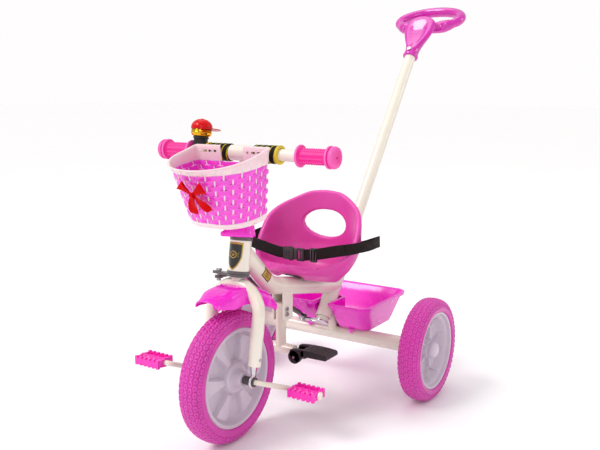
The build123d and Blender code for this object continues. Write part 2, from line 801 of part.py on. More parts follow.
def basket_form(inset, floor):
    """The basket's D-shaped outer form, flat at the back, its walls inset and its floor raised."""
    with BuildPart() as form:
        for z, slope, half, depth in (
                (BASKET_LOW + floor, LOW_SLOPE, BASKET_LOW_HALF, BASKET_LOW_DEPTH),
                (BASKET_TOP + (1 if floor else 0), TOP_SLOPE, BASKET_HALF, BASKET_DEPTH)):
            up = Vector(0, 0, 1).rotate(Axis.X, slope)
            length = depth / cos(radians(slope))
            with BuildSketch(Plane(origin=(0, BASKET_BACK, z), x_dir=(1, 0, 0), z_dir=up)) as outline:
                with Locations((0, -length / 2)):
                    Rectangle(2 * (half - inset), length - 2 * inset)
                corners = outline.vertices().group_by(Axis.Y)
                fillet(corners[0], 0.58 * length - inset)
        loft()
    return form.part


def basket():
    with BuildPart() as tub:
        add(basket_form(0, 0))
        add(basket_form(BASKET_T, BASKET_T), mode=Mode.SUBTRACT)
        with Locations((0, BASKET_BACK, BASKET_TOP - 2)):
            Box(62, 12, 56, mode=Mode.SUBTRACT)
        for plane in basket_screw_planes():
            add(ring(plane, -12, 6, SCREW_R + 0.2, 0), mode=Mode.SUBTRACT)
    return tub.part.solids().sort_by(SortBy.VOLUME)[-1]


def basket_bracket():
    """Clamp on the stem with a plate behind the basket."""
    post_y = on_steer(0, 0, (BRACKET_Z - FRONT_R) / cos(radians(HEAD_TILT))).Y
    up = (BRACKET_Z - FRONT_R) / cos(radians(HEAD_TILT))
    with BuildPart() as bracket:
        with Locations((0, BASKET_BACK + 1.7, BRACKET_Z)):
            Box(50, 3, 24)
        with BuildSketch(Plane.XY.offset(BRACKET_Z - 10)):
            with Locations((0, (BASKET_BACK + post_y) / 2)):
                Rectangle(12, post_y - BASKET_BACK - 2)
        extrude(amount=20)
        add(ring(STEER, up - 10, up + 10, BAR_R + 3.5, 0))
        add(ring(STEER, up - 20, up + 20, BAR_R + 0.05, 0), mode=Mode.SUBTRACT)
        for plane in basket_screw_planes():
            add(ring(plane, -12, 6, SCREW_R + 0.2, 0), mode=Mode.SUBTRACT)
    return bracket.part


def basket_bow():
    """Ribbon bow on the front of the basket, two loops and two tails around a knot."""
    wall = Vector(0, BASKET_LOW_DEPTH - BASKET_DEPTH, 108).normalized()
    plane = Plane(origin=(0, REAR_Y - 482.5, 487), x_dir=(1, 0, 0), z_dir=Vector(1, 0, 0).cross(wall))
    with BuildPart() as bow:
        with BuildSketch(plane):
            for side in SIDES.values():
                with BuildLine():
                    Polyline((0, 5), (side * 30, 24), (side * 36, 6), (0, -5), close=True)
                make_face()
                with BuildLine():
                    Polyline((0, 4), (side * 29, -36), (side * 10, -40), (side * -3, -2), close=True)
                make_face()
            Circle(6)
        extrude(amount=5)
    return bow.part


def bell_plane():
    return Plane(origin=bar_point(-107), x_dir=(1, 0, 0), z_dir=STEER.z_dir)


def bell_base():
    """Clamp round the handlebar with the post and stud that carry the bell."""
    with BuildPart() as base:
        add(rod(bar_point(-113), bar_point(-101.4), 14.5))
        add(ring(bell_plane(), 8, 25, 5, 0))
        add(ring(bell_plane(), 24, 27, 15, 0))
        add(ring(bell_plane(), 10, 54, 2.5, 0))
        add(rod(bar_point(-125), bar_point(-89), BAR_R), mode=Mode.SUBTRACT)
    return base.part


def bell_dome():
    """Brass cup on the bell base, with a hole for the stud."""
    return turned(bell_plane().origin, STEER.z_dir, [
        (27.1, 2.7), (27.1, 13), (28.5, 17.5), (32, 19.5), (45, 19.5), (45, 18.3), (32.2, 18.3),
        (29.4, 16.5), (28.3, 12.6), (28.3, 2.7)])


def bell_cap():
    """Domed cap with a thumb brim, turning on the stud."""
    with BuildPart() as cap:
        add(turned(bell_plane().origin, STEER.z_dir, [
            (46, 19), (46, 20.8), (51, 20.4), (56, 17.2), (60, 11), (61.5, 4), (61.5, 0), (55, 0),
            (55, 2.55), (47, 2.55), (47, 5), (57, 5.2), (56, 9), (53.6, 14.8), (50, 18.2)]))
        with BuildSketch(bell_plane().offset(46)):
            with Locations((30, 0)):
                Ellipse(12, 14)
            with Locations((22, 0)):
                Rectangle(14, 26)
            Circle(20.2, mode=Mode.SUBTRACT)
        extrude(amount=2)
    return cap.part.solids().sort_by(SortBy.VOLUME)[-1]


# ---- wheels --------------------------------------------------------------------------------------
def tyre(x, y, z, radius, seat_radius):
    """Foam tyre: round shoulders outside, stepped round the rim's flanges inside."""
    seat, lip, side = seat_radius - 4, RIM_HALF - 3, TYRE_HALF
    with BuildPart() as solid:
        with BuildSketch(Plane(origin=(x, y, z), x_dir=(1, 0, 0), z_dir=(0, -1, 0))):
            with BuildLine():
                Polyline(
                    (-side, radius - 16), (-side, seat + 4), (-lip, seat + 4), (-lip, seat), (lip, seat),
                    (lip, seat + 4), (side, seat + 4), (side, radius - 16))
                Spline(
                    (side, radius - 16), (side * 0.72, radius - 4), (0, radius),
                    (-side * 0.72, radius - 4), (-side, radius - 16))
            make_face()
        revolve(axis=Axis((x, y, z), (1, 0, 0)))
    return solid.part


def front_rim():
    """Moulded wheel: deep rim, dished web with six pockets on each face, and a raised hub."""
    r = FRONT_RIM_R
    seat, web = r - 4, 9
    with BuildPart() as rim:
        add(turned((0, FRONT_Y, FRONT_R), (1, 0, 0), [
            (-28, AXLE_R), (-28, 13), (-19, 17), (-16, 30), (-web, 34), (-web, r - 16), (-18, r - 12),
            (-RIM_HALF, r - 8), (-RIM_HALF, r), (-18, r), (-18, seat), (18, seat), (18, r), (RIM_HALF, r),
            (RIM_HALF, r - 8), (18, r - 12), (web, r - 16), (web, 34), (16, 30), (19, 17), (28, 13),
            (28, AXLE_R)]))
        for side in SIDES.values():
            with BuildSketch(Plane(origin=(side * web, FRONT_Y, FRONT_R), z_dir=(side, 0, 0))):
                with PolarLocations(0, 6):
                    Polygon((38, -7), (38, 7), (78, 24), (78, -24), align=None)
            extrude(amount=-5, mode=Mode.SUBTRACT)
    return rim.part


def rear_rim(side):
    """Moulded wheel with a deep dish on its outer face and six ribs."""
    r = REAR_RIM_R
    seat = r - 4
    centre = (side * REAR_TRACK, REAR_Y, REAR_R)
    bore = AXLE_R + RUNNING
    with BuildPart() as rim:
        add(turned(centre, (side, 0, 0), [
            (-25, bore), (-25, 17), (-12, 20), (-12, r - 14), (-RIM_HALF, r - 8), (-RIM_HALF, r),
            (-18, r), (-18, seat), (18, seat), (18, r), (RIM_HALF, r), (RIM_HALF, r - 8), (12, r - 12),
            (-6, r - 18), (-7, 24), (8, 19), (8, bore)]))
        with BuildSketch(Plane(origin=centre, z_dir=(side, 0, 0)).offset(-8)):
            with PolarLocations(0, 6):
                with Locations((43, 0)):
                    Rectangle(52, 5)
        extrude(amount=15)
    return rim.part


def hub_cap(side):
    """Hollow cap over the axle nut."""
    return turned((side * REAR_TRACK, REAR_Y, REAR_R), (side, 0, 0), [
        (8, 12), (8, 18.5), (16, 18), (20.5, 14), (23, 8), (24, 0.01), (21.5, 0.01), (19, 10), (17, 12)])


def crank_offset(x, reach):
    angle = radians(PEDAL_CRANK_ANGLE)
    return Vector(x, FRONT_Y + reach * cos(angle), FRONT_R + reach * sin(angle))


def crank_axle():
    """One steel rod: axle through the hub, a crank at each end, and the pedal pins."""
    reach = PEDAL_CRANK_R
    points = [crank_offset(-158, -reach), crank_offset(-88, -reach), crank_offset(-68, 0),
              crank_offset(68, 0), crank_offset(88, reach), crank_offset(158, reach)]
    with BuildPart() as axle:
        add(bent(points, 8, AXLE_R))
        for side in SIDES.values():
            add(rod(crank_offset(side * 157.6, side * reach), crank_offset(side * 160.5, side * reach), 7.5))
    return axle.part


def hub_spacers():
    return group(*[
        ring(Plane(origin=(0, FRONT_Y, FRONT_R), z_dir=(side, 0, 0)), 28.1, 45.6, 8, AXLE_R)
        for side in SIDES.values()])


def pedal(side):
    """Ribbed block that turns on its crank pin."""
    with BuildPart() as block:
        with BuildSketch(Plane(origin=crank_offset(side * 98, side * PEDAL_CRANK_R), z_dir=(side, 0, 0),
                               x_dir=(0, 1, 0))):
            RectangleRounded(42, 20, 5)
            Circle(AXLE_R + RUNNING, mode=Mode.SUBTRACT)
        extrude(amount=59)
        for step in range(5):
            x = side * (106 + 10.5 * step)
            for face in (-1, 1):
                with Locations(crank_offset(x, side * PEDAL_CRANK_R) + Vector(0, 0, face * 10)):
                    Box(4, 50, 5, mode=Mode.SUBTRACT)
    return block.part


# ---- push pole, steering rod and footrests -------------------------------------------------------
HANDLE_CENTRE = Vector(0, REAR_Y + 500.7, 850.3)
HANDLE_RISE = 28.7
HANDLE_A = 85.8
HANDLE_B = 53.6
HANDLE_R = 14.0


def push_pole():
    with BuildPart() as pole:
        add(ring(POLE, -2, POLE_TOP, POLE_R, POLE_R - WALL))
        add(ring(handle_screw_plane(), -20, 5, SCREW_R + 0.2, 0), mode=Mode.SUBTRACT)
    return pole.part


def pole_handle():
    """Oval hand ring on a flattened neck that fits over the pole."""
    up = Vector(0, 0, 1).rotate(Axis.X, HANDLE_RISE)
    ring_plane = Plane(origin=HANDLE_CENTRE, x_dir=(1, 0, 0), z_dir=up)
    end = ring_plane.from_local_coords(Vector(HANDLE_A, 0, 0))
    with BuildSketch(ring_plane) as oval:
        Ellipse(HANDLE_A, HANDLE_B)
    with BuildPart() as handle:
        with BuildSketch(Plane(origin=end, z_dir=ring_plane.y_dir)):
            Circle(HANDLE_R)
        sweep(path=oval.sketch.edges()[0])
        for up, across, thick in ((738, 18, 18), (776, 20, 17), (815, 34, 14), (846, 44, 11)):
            with BuildSketch(POLE.offset(up)):
                Ellipse(across, thick)
        loft()
        add(ring(POLE, 700, POLE_TOP + 1, POLE_R, 0), mode=Mode.SUBTRACT)
        add(ring(handle_screw_plane(), -40, 20, SCREW_R + 0.2, 0), mode=Mode.SUBTRACT)
    return handle.part


def handle_screw_plane():
    return Plane(origin=on_pole(0, -18.5, 752), z_dir=-POLE.y_dir)


def crank_plate():
    """Chromed lens-shaped plate under the pole's foot, with a slot and the rod's pin hole."""
    with BuildPart() as plate:
        with BuildSketch(POLE.offset(-5)):
            Circle(16)
            with Locations((-CRANK_ARM_R - 4, 0)):
                Circle(7)
            make_hull()
            with Locations((-24, 0)):
                SlotOverall(18, 6, mode=Mode.SUBTRACT)
            with Locations((-CRANK_ARM_R, 0)):
                Circle(3.2, mode=Mode.SUBTRACT)
        extrude(amount=3)
    return plate.part


def pole_screws():
    """Handle screw, and the bolt that the steering rod's back eye sits on."""
    pin_foot = on_pole(-CRANK_ARM_R, 0, -9)
    with BuildPart() as pin:
        add(rod(pin_foot, on_pole(-CRANK_ARM_R, 0, 8), 3))
        add(rod(pin_foot, on_pole(-CRANK_ARM_R, 0, -5.5), 5.5))
    return group(screw(handle_screw_plane(), 12), pin.part)


EYE_PLAY = 1.1            # room round the back pin, where the steering linkage is opened


def steering_rod():
    """Rod bent over the mudguard, sleeved behind it, with an eye at each end."""
    front, back = rod_front(), rod_back()
    start = (ROD_BENDS[0] - front).normalized()
    along = (back - ROD_BENDS[1]).normalized()
    turn = rod_axis()[0].normalized()
    with BuildPart() as link:
        add(bent([front + start * 6, *ROD_BENDS, back - along * 6], 45, 3.5))
        add(rod(ROD_BENDS[1] + along * 24, back - along * 26, 6))
        add(ring(Plane(origin=front, z_dir=turn), -3, 3, 8, 0))
        add(ring(Plane(origin=back, z_dir=POLE.z_dir), -2.5, 2.5, 6 + EYE_PLAY, 0))
        add(ring(Plane(origin=front, z_dir=turn), -6, 6, 3 + RUNNING, 0), mode=Mode.SUBTRACT)
        add(ring(Plane(origin=back, z_dir=POLE.z_dir), -6, 6, 3 + EYE_PLAY, 0), mode=Mode.SUBTRACT)
    return link.part


def footrest(side):
    """Folding footrest: two cheeks on the pin and an arched tread."""
    with BuildPart() as rest:
        with BuildSketch(Plane(origin=(0, HANGER_Y - 22, 0), x_dir=(1, 0, 0), z_dir=(0, 1, 0))):
            with BuildLine():
                outline = [
                    (35, 2), (35, 15), (56, 17.5), (90, 18.5), (121, 17), (124, 14.5), (124, 7.5),
                    (121, 5), (75, 4), (55, -12), (46, -14)]
                Polyline(*[(side * x, -PEG_PIVOT_Z - up) for x, up in outline], close=True)
            make_face()
            with Locations((side * PEG_PIVOT_X, -PEG_PIVOT_Z)):
                Circle(14)
        extrude(amount=44)
        with Locations((side * 40, HANGER_Y, PEG_PIVOT_Z + 2)):
            Box(42, 23.2, 60, mode=Mode.SUBTRACT)
        add(footrest_pins(3 + RUNNING), mode=Mode.SUBTRACT)
    return rest.part.solids().sort_by(SortBy.VOLUME)[-1]


# ---- all pieces ----------------------------------------------------------------------------------
PIECES = {
    "main_frame": main_frame(),
    "rear_frame": rear_frame(),
    "headset_cups": headset_cups(),
    "headset_bearings": headset_bearings(),
    "hanger_bracket": hanger_bracket(),
    "footrest_carrier": footrest_carrier(),
    "footrest_pins": footrest_pins(),
    "frame_screws": frame_screws(),
    "rear_axle": rear_axle(),
    "axle_nuts": axle_nuts(),
    "beam_spacers": beam_spacers(),
    "pole_bushes": pole_bushes(),
    "seat_bracket": seat_bracket(),
    "seat": seat(),
    "seat_belt": seat_belt(),
    "belt_buckle": buckle_half(BUCKLE_X[0], -4),
    "belt_tongue": buckle_half(-4, BUCKLE_X[1]),
    "belt_slider": belt_slider(),
    "rear_bucket": rear_bucket(),
    "head_badge": head_badge(),
    "side_label": side_label(),
    "fork_blades": fork_blades(),
    "steerer_tube": steerer_tube(),
    "fork_ends": fork_ends(),
    "axle_bushes": axle_bushes(),
    "steering_arm": steering_arm(),
    "steering_screws": steering_screws(),
    "mudguard": mudguard(),
    "stem_cover": stem_cover(),
    "handlebar_stem": handlebar_stem(),
    "handlebar": handlebar(),
    "foam_wraps": foam_wraps(),
    "foam_rings": foam_rings(),
    "basket": basket(),
    "basket_bracket": basket_bracket(),
    "basket_bow": basket_bow(),
    "bell_base": bell_base(),
    "bell_dome": bell_dome(),
    "bell_cap": bell_cap(),
    "front_tyre": tyre(0, FRONT_Y, FRONT_R, FRONT_R, FRONT_RIM_R),
    "front_rim": front_rim(),
    "crank_axle": crank_axle(),
    "hub_spacers": hub_spacers(),
    "push_pole": push_pole(),
    "pole_handle": pole_handle(),
    "pole_screws": pole_screws(),
    "crank_plate": crank_plate(),
    "steering_rod": steering_rod(),
}
for hand, side in SIDES.items():
    PIECES[f"grip_{hand}"] = grip(side)
    PIECES[f"pedal_{hand}"] = pedal(side)
    PIECES[f"rear_tyre_{hand}"] = tyre(side * REAR_TRACK, REAR_Y, REAR_R, REAR_R, REAR_RIM_R)
    PIECES[f"rear_rim_{hand}"] = rear_rim(side)
    PIECES[f"hub_cap_{hand}"] = hub_cap(side)
    PIECES[f"footrest_{hand}"] = footrest(side)

for name, part in PIECES.items():
    save(part, name)
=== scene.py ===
import json
from math import atan2, cos, pi, radians, sin, sqrt, tau

import bmesh
import bpy
import numpy as np
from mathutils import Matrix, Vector


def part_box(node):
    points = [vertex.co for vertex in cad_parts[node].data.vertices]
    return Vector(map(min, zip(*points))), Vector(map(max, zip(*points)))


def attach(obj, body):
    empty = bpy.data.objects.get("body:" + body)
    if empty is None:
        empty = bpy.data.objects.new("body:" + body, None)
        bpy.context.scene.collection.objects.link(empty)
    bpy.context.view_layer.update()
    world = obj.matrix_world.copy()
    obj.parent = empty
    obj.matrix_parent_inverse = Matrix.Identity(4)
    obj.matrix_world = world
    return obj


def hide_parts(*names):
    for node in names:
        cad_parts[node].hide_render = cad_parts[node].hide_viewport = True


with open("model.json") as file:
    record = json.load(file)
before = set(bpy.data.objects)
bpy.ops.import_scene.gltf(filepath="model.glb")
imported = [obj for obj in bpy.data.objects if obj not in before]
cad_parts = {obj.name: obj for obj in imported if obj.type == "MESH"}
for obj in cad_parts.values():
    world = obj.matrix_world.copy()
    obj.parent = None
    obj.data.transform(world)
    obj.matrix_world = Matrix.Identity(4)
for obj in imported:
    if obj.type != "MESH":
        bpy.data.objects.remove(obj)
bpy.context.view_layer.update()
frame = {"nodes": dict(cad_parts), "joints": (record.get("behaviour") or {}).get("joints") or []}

JOINTS = {joint["name"]: joint for joint in frame["joints"]}
SIDES = {"left": 1, "right": -1}


# ---- places, in millimetres ----------------------------------------------------------------------
def axes_at(name):
    """Origin and across, back and up directions of a joint's axis."""
    joint = JOINTS[name]
    up = np.array(joint["axis"], float)
    across = np.array([1.0, 0, 0])
    return np.array(joint["pos_m"]) * 1000, across, np.cross(up, across), up


def place(axes, x, back, up):
    origin, e_x, e_back, e_up = axes
    return origin + e_x * x + e_back * back + e_up * up


STEER = axes_at("steer")
POLE = axes_at("pole_turn")
FRONT = np.array(JOINTS["front_wheel_spin"]["pos_m"]) * 1000
REAR_Y = JOINTS["rear_wheel_left_spin"]["pos_m"][1] * 1000
BAR_BACK, BAR_UP = -14.0, 422.8          # the handlebar, from the front axle along the steering axis


def steer(x, back, up):
    return place(STEER, x, back, up)


def pole(x, back, up):
    return place(POLE, x, back, up)


def bar(x):
    return steer(x, BAR_BACK, BAR_UP)


def unit(v):
    v = np.asarray(v, float)
    return v / np.linalg.norm(v)


def smooth_step(t):
    return t * t * (3 - 2 * t)


def step_up(value, low, high):
    """A smooth rise from 0 at low to 1 at high."""
    return smooth_step(np.clip((value - low) / (high - low), 0, 1))


def full_turn(count):
    """Evenly spaced angles once round a circle."""
    return np.linspace(0, tau, count, endpoint=False)


def arc(centre, radius, start, stop, steps, flat=1.0):
    """Points of an arc from start to stop degrees, scaled by flat in y."""
    turns = [radians(start + (stop - start) * k / steps) for k in range(steps + 1)]
    return [(centre[0] + radius * cos(a), centre[1] + radius * flat * sin(a)) for a in turns]


def between(p, q, steps):
    """Evenly spaced points between two ends, without the ends."""
    return [(p[0] + (q[0] - p[0]) * k / steps, p[1] + (q[1] - p[1]) * k / steps) for k in range(1, steps)]


# ---- mesh building -------------------------------------------------------------------------------
def soften(points, amount, steps=4, closed=False):
    """A polyline with its corners rounded off."""
    points = [np.asarray(p, float) for p in points]
    count, out = len(points), []
    for i, p in enumerate(points):
        if not closed and i in (0, count - 1):
            out.append(p)
            continue
        before, after = points[i - 1], points[(i + 1) % count]
        cut = min(amount, np.linalg.norm(before - p) * 0.45, np.linalg.norm(after - p) * 0.45)
        a, b = p + unit(before - p) * cut, p + unit(after - p) * cut
        for k in range(steps + 1):
            t = k / steps
            out.append(a * (1 - t) ** 2 + p * 2 * t * (1 - t) + b * t * t)
    return out


def curve_through(points, count, closed=False):
    """Evenly parametrised points of a smooth curve through the given ones."""
    points = np.asarray(points, float)
    n = len(points)
    out = []
    for s in np.linspace(0, n if closed else n - 1, count, endpoint=not closed):
        i = int(min(s, n - 1 if closed else n - 2))
        t = s - i
        if closed:
            p0, p1, p2, p3 = (points[(i + k) % n] for k in (-1, 0, 1, 2))
        else:
            p1, p2 = points[i], points[i + 1]
            p0 = points[i - 1] if i else 2 * p1 - p2
            p3 = points[i + 2] if i + 2 < n else 2 * p2 - p1
        out.append(0.5 * (2 * p1 + (p2 - p0) * t + (2 * p0 - 5 * p1 + 4 * p2 - p3) * t ** 2
                          + (3 * p1 - p0 - 3 * p2 + p3) * t ** 3))
    return np.array(out)


class Shape:
    """Vertices in millimetres, faces, and the material slot of each face."""

    def __init__(self):
        self.verts, self.faces, self.slots = [], [], []

    def add(self, verts, faces, slot=0):
        first = len(self.verts)
        self.verts.extend(tuple(v) for v in verts)
        self.faces.extend(tuple(first + i for i in face) for face in faces)
        self.slots.extend([slot] * len(faces))
        return self

    def grid(self, rows, wrap=False, wrap_rows=False, caps=False, slot=0, skip=None):
        """Quads between rows of points. wrap closes each row, wrap_rows joins the last row to the first."""
        rows = np.asarray(rows, float)
        n, m = rows.shape[:2]
        faces = []
        for i in range(n if wrap_rows else n - 1):
            for j in range(m if wrap else m - 1):
                if skip is not None and skip(i, j):
                    continue
                k, l = (i + 1) % n, (j + 1) % m
                faces.append((i * m + j, i * m + l, k * m + l, k * m + j))
        if caps:
            faces.append(tuple(range(m))[::-1])
            faces.append(tuple((n - 1) * m + j for j in range(m)))
        return self.add(rows.reshape(-1, 3), faces, slot)

    def lathe(self, origin, axis, profile, steps=72, slot=0, closed=True, radius_fn=None):
        """Profile points (along, radius) turned about an axis."""
        axis = unit(axis)
        side = unit(np.cross(axis, (0, 0.3, 1) if abs(axis[0]) > 0.5 else (1, 0, 0)))
        other = np.cross(axis, side)
        rows = []
        for k in range(steps):
            turn = tau * k / steps
            out = side * cos(turn) + other * sin(turn)
            rows.append([np.asarray(origin) + axis * a + out * (radius_fn(a, r, turn) if radius_fn else r)
                         for a, r in profile])
        return self.grid(rows, wrap=closed, wrap_rows=True, slot=slot)

    def tube(self, points, radius, sides=20, closed=False, flat=1.0, up=None, slot=0):
        """A round or oval bar along points. flat scales it across up."""
        points = np.asarray(points, float)
        n = len(points)
        radius = np.broadcast_to(radius, n)
        ahead = np.roll(points, -1, 0) - np.roll(points, 1, 0)
        if not closed:
            ahead[0], ahead[-1] = points[1] - points[0], points[-1] - points[-2]
        normal = np.asarray(up if up is not None else (0.31, 0.52, 0.79), float)
        rows = []
        for p, t, r in zip(points, ahead, radius):
            t = unit(t)
            reference = np.asarray(up, float) if up is not None else normal
            normal = unit(reference - t * reference.dot(t))
            across = np.cross(t, normal)
            rows.append([p + across * r * cos(tau * k / sides) + normal * r * flat * sin(tau * k / sides)
                         for k in range(sides)])
        return self.grid(rows, wrap=True, wrap_rows=closed, caps=not closed, slot=slot)

    def strap(self, points, across, width, thickness, closed=False, slot=0):
        """A flat band along points, its width lying along the across directions."""
        points, across = np.asarray(points, float), np.asarray(across, float)
        ahead = np.roll(points, -1, 0) - np.roll(points, 1, 0)
        if not closed:
            ahead[0], ahead[-1] = points[1] - points[0], points[-1] - points[-2]
        width = np.broadcast_to(width, len(points))
        rows = []
        for p, t, a, w in zip(points, ahead, across, width):
            a = unit(a - unit(t) * a.dot(unit(t)))
            out = unit(np.cross(unit(t), a))
            half, thin = w / 2, thickness / 2
            rows.append([p + a * u + out * v for u, v in (
                (-half, 0), (-half + thin, thin), (-half / 2, thin), (0, thin), (half / 2, thin),
                (half - thin, thin), (half, 0), (half - thin, -thin), (half / 2, -thin), (0, -thin),
                (-half / 2, -thin), (-half + thin, -thin))])
        return self.grid(rows, wrap=True, wrap_rows=closed, caps=not closed, slot=slot)

    def prism(self, outline, plane, low, high, slot=0):
        """A flat outline of (u, v) points on plane (origin, e_u, e_v), thickened along its normal."""
        origin, e_u, e_v = (np.asarray(p, float) for p in plane)
        normal = unit(np.cross(e_u, e_v))
        rows = [[origin + e_u * u + e_v * v + normal * w for u, v in outline] for w in (low, high)]
        return self.grid(rows, wrap=True, caps=True, slot=slot)

    def block(self, centre, size, axes=((1, 0, 0), (0, 1, 0), (0, 0, 1)), chamfer=0.2, slot=0):
        """A block with cut corners, made to be bevelled."""
        a, b = size[0] / 2, size[1] / 2
        cut = min(a, b) * chamfer
        outline = [(-a + cut, -b), (a - cut, -b), (a, -b + cut), (a, b - cut), (a - cut, b), (-a + cut, b),
                   (-a, b - cut), (-a, -b + cut)]
        return self.prism(outline, (centre, axes[0], axes[1]), -size[2] / 2, size[2] / 2, slot)


def mesh_object(name, shape, merge=0.01):
    """A new object with the shape's mesh, close points merged and faces turned outward."""
    mesh = bpy.data.meshes.new(name)
    mesh.from_pydata([tuple(c * 0.001 for c in v) for v in shape.verts], [], shape.faces)
    mesh.update()
    mesh.polygons.foreach_set("material_index", shape.slots)
    work = bmesh.new()
    work.from_mesh(mesh)
    bmesh.ops.remove_doubles(work, verts=work.verts, dist=merge * 0.001)
    bmesh.ops.recalc_face_normals(work, faces=work.faces)
    work.to_mesh(mesh)
    work.free()
    obj = bpy.data.objects.new(name, mesh)
    bpy.context.scene.collection.objects.link(obj)
    return obj


def piece(name, shape, body, materials, hides=(), bevel=0.0, segments=2, subdivide=0, shell=0.0,
          offset=-1.0, angle=38, merge=0.01):
    """Makes a piece from a shape, with its modifiers, materials and body, and hides the CAD parts it
    replaces.
    """
    obj = mesh_object(name, shape, merge)
    mesh = obj.data
    mesh.shade_smooth()
    mesh.set_sharp_from_angle(angle=radians(angle))
    for material in materials if isinstance(materials, (list, tuple)) else [materials]:
        mesh.materials.append(material)
    if shell:
        wall = obj.modifiers.new("wall", "SOLIDIFY")
        wall.thickness, wall.offset, wall.use_even_offset = abs(shell) * 0.001, offset, True
        wall.use_quality_normals = True
    if bevel:
        edge = obj.modifiers.new("edge", "BEVEL")
        edge.width, edge.segments, edge.limit_method = bevel * 0.001, segments, "ANGLE"
        edge.angle_limit, edge.harden_normals = radians(32), True
        edge.use_clamp_overlap = True
    if subdivide:
        soft = obj.modifiers.new("soft", "SUBSURF")
        soft.levels = soft.render_levels = subdivide
    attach(obj, body)
    if hides:
        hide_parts(*hides)
    return obj


def moulded(shape, voxel, rounds, cutters=()):
    """Joins a shape's closed parts into one skin with softly rounded edges, and returns its mesh data."""
    def skin(name):
        remesh = obj.modifiers.new(name, "REMESH")
        remesh.mode, remesh.voxel_size, remesh.adaptivity = "VOXEL", voxel * 0.001, 0.0
    obj = mesh_object("mould", shape)
    tools = [mesh_object("cutter", cutter) for cutter in cutters]
    skin("skin")
    for tool in tools:
        cut = obj.modifiers.new("cut", "BOOLEAN")
        cut.operation, cut.solver, cut.object = "DIFFERENCE", "EXACT", tool
    if tools:
        skin("again")
    smooth = obj.modifiers.new("smooth", "SMOOTH")
    smooth.factor, smooth.iterations = 0.5, rounds
    graph = bpy.context.evaluated_depsgraph_get()
    mesh = bpy.data.meshes.new_from_object(obj.evaluated_get(graph))
    out = Shape()
    out.verts = [tuple(c * 1000 for c in v.co) for v in mesh.vertices]
    out.faces = [tuple(p.vertices) for p in mesh.polygons]
    out.slots = [0] * len(out.faces)
    for used in [obj] + tools:
        data = used.data
        bpy.data.objects.remove(used)
        bpy.data.meshes.remove(data)
    bpy.data.meshes.remove(mesh)
    return out


# ---- materials -----------------------------------------------------------------------------------
def linear(colour, gain=1.0):
    out = [c / 12.92 if c <= 0.04045 else ((c + 0.055) / 1.055) ** 2.4 for c in (v / 255 for v in colour)]
    return tuple(min(1.0, c * gain) for c in out) + (1.0,)


def node(tree, kind, **inputs):
    made = tree.nodes.new(kind)
    for key, value in inputs.items():
        made.inputs[key.replace("_", " ")].default_value = value
    return made


def material(name, colour, rough=0.4, metallic=0.0, coat=0.0, coat_rough=0.08, spread=0.08, patch=45.0,
             grain=0.15, grain_size=1.0, sheen=0.0, subsurface=0.0, wear_and_highlight=0.0, wear_and_highlight_colour=None, stripes=None,
             mirror=0.5):
    """A surface with patchy colour, uneven gloss, fine grain and paler or darker edges; the paler convex
    edges are partly wear and partly painted highlight.
    """
    made = bpy.data.materials.new(name)
    made.use_nodes = True
    tree = made.node_tree
    link = tree.links.new
    shader = tree.nodes["Principled BSDF"]
    where = tree.nodes.new("ShaderNodeTexCoord").outputs["Object"]
    for socket, value in (("Metallic", metallic), ("Coat Weight", coat), ("Coat Roughness", coat_rough),
                          ("Sheen Weight", sheen), ("Sheen Roughness", 0.5), ("Specular IOR Level", mirror),
                          ("Subsurface Weight", subsurface), ("Subsurface Scale", 0.004)):
        shader.inputs[socket].default_value = value

    patches = node(tree, "ShaderNodeTexNoise", Scale=1000 / patch, Detail=4.0, Roughness=0.6)
    link(where, patches.inputs["Vector"])
    ramp = tree.nodes.new("ShaderNodeValToRGB")
    ramp.color_ramp.elements[0].position, ramp.color_ramp.elements[1].position = 0.3, 0.72
    ramp.color_ramp.elements[0].color = linear(colour, 1 - spread)
    ramp.color_ramp.elements[1].color = linear(colour, 1 + spread * 0.7)
    link(patches.outputs["Fac"], ramp.inputs["Fac"])
    tone = ramp.outputs["Color"]
    if stripes:
        tone = stripes(tree, where, tone)
    # Pointiness pales convex edges: partly wear, partly a painted highlight where edges would catch the
    # light.
    if wear_and_highlight:
        edges = tree.nodes.new("ShaderNodeNewGeometry")
        edge_wear_and_highlight = node(tree, "ShaderNodeMapRange", From_Min=0.51, From_Max=0.60, To_Min=0.0, To_Max=wear_and_highlight)
        link(edges.outputs["Pointiness"], edge_wear_and_highlight.inputs["Value"])
        mix = tree.nodes.new("ShaderNodeMix")
        mix.data_type = "RGBA"
        mix.inputs[7].default_value = linear(wear_and_highlight_colour or colour, 1.5)
        link(edge_wear_and_highlight.outputs["Result"], mix.inputs[0])
        link(tone, mix.inputs[6])
        tone = mix.outputs[2]
    link(tone, shader.inputs["Base Color"])

    cloudy = node(tree, "ShaderNodeTexNoise", Scale=1000 / (patch * 0.4), Detail=5.0, Roughness=0.7)
    link(where, cloudy.inputs["Vector"])
    gloss = node(tree, "ShaderNodeMapRange", From_Min=0.3, From_Max=0.7, To_Min=max(0.02, rough * 0.82),
                 To_Max=min(1.0, rough * 1.25))
    link(cloudy.outputs["Fac"], gloss.inputs["Value"])
    link(gloss.outputs["Result"], shader.inputs["Roughness"])

    fine = node(tree, "ShaderNodeTexNoise", Scale=1000 / grain_size, Detail=3.0, Roughness=0.55)
    link(where, fine.inputs["Vector"])
    bump = node(tree, "ShaderNodeBump", Strength=grain, Distance=0.0004)
    link(fine.outputs["Fac"], bump.inputs["Height"])
    link(bump.outputs["Normal"], shader.inputs["Normal"])
    return made


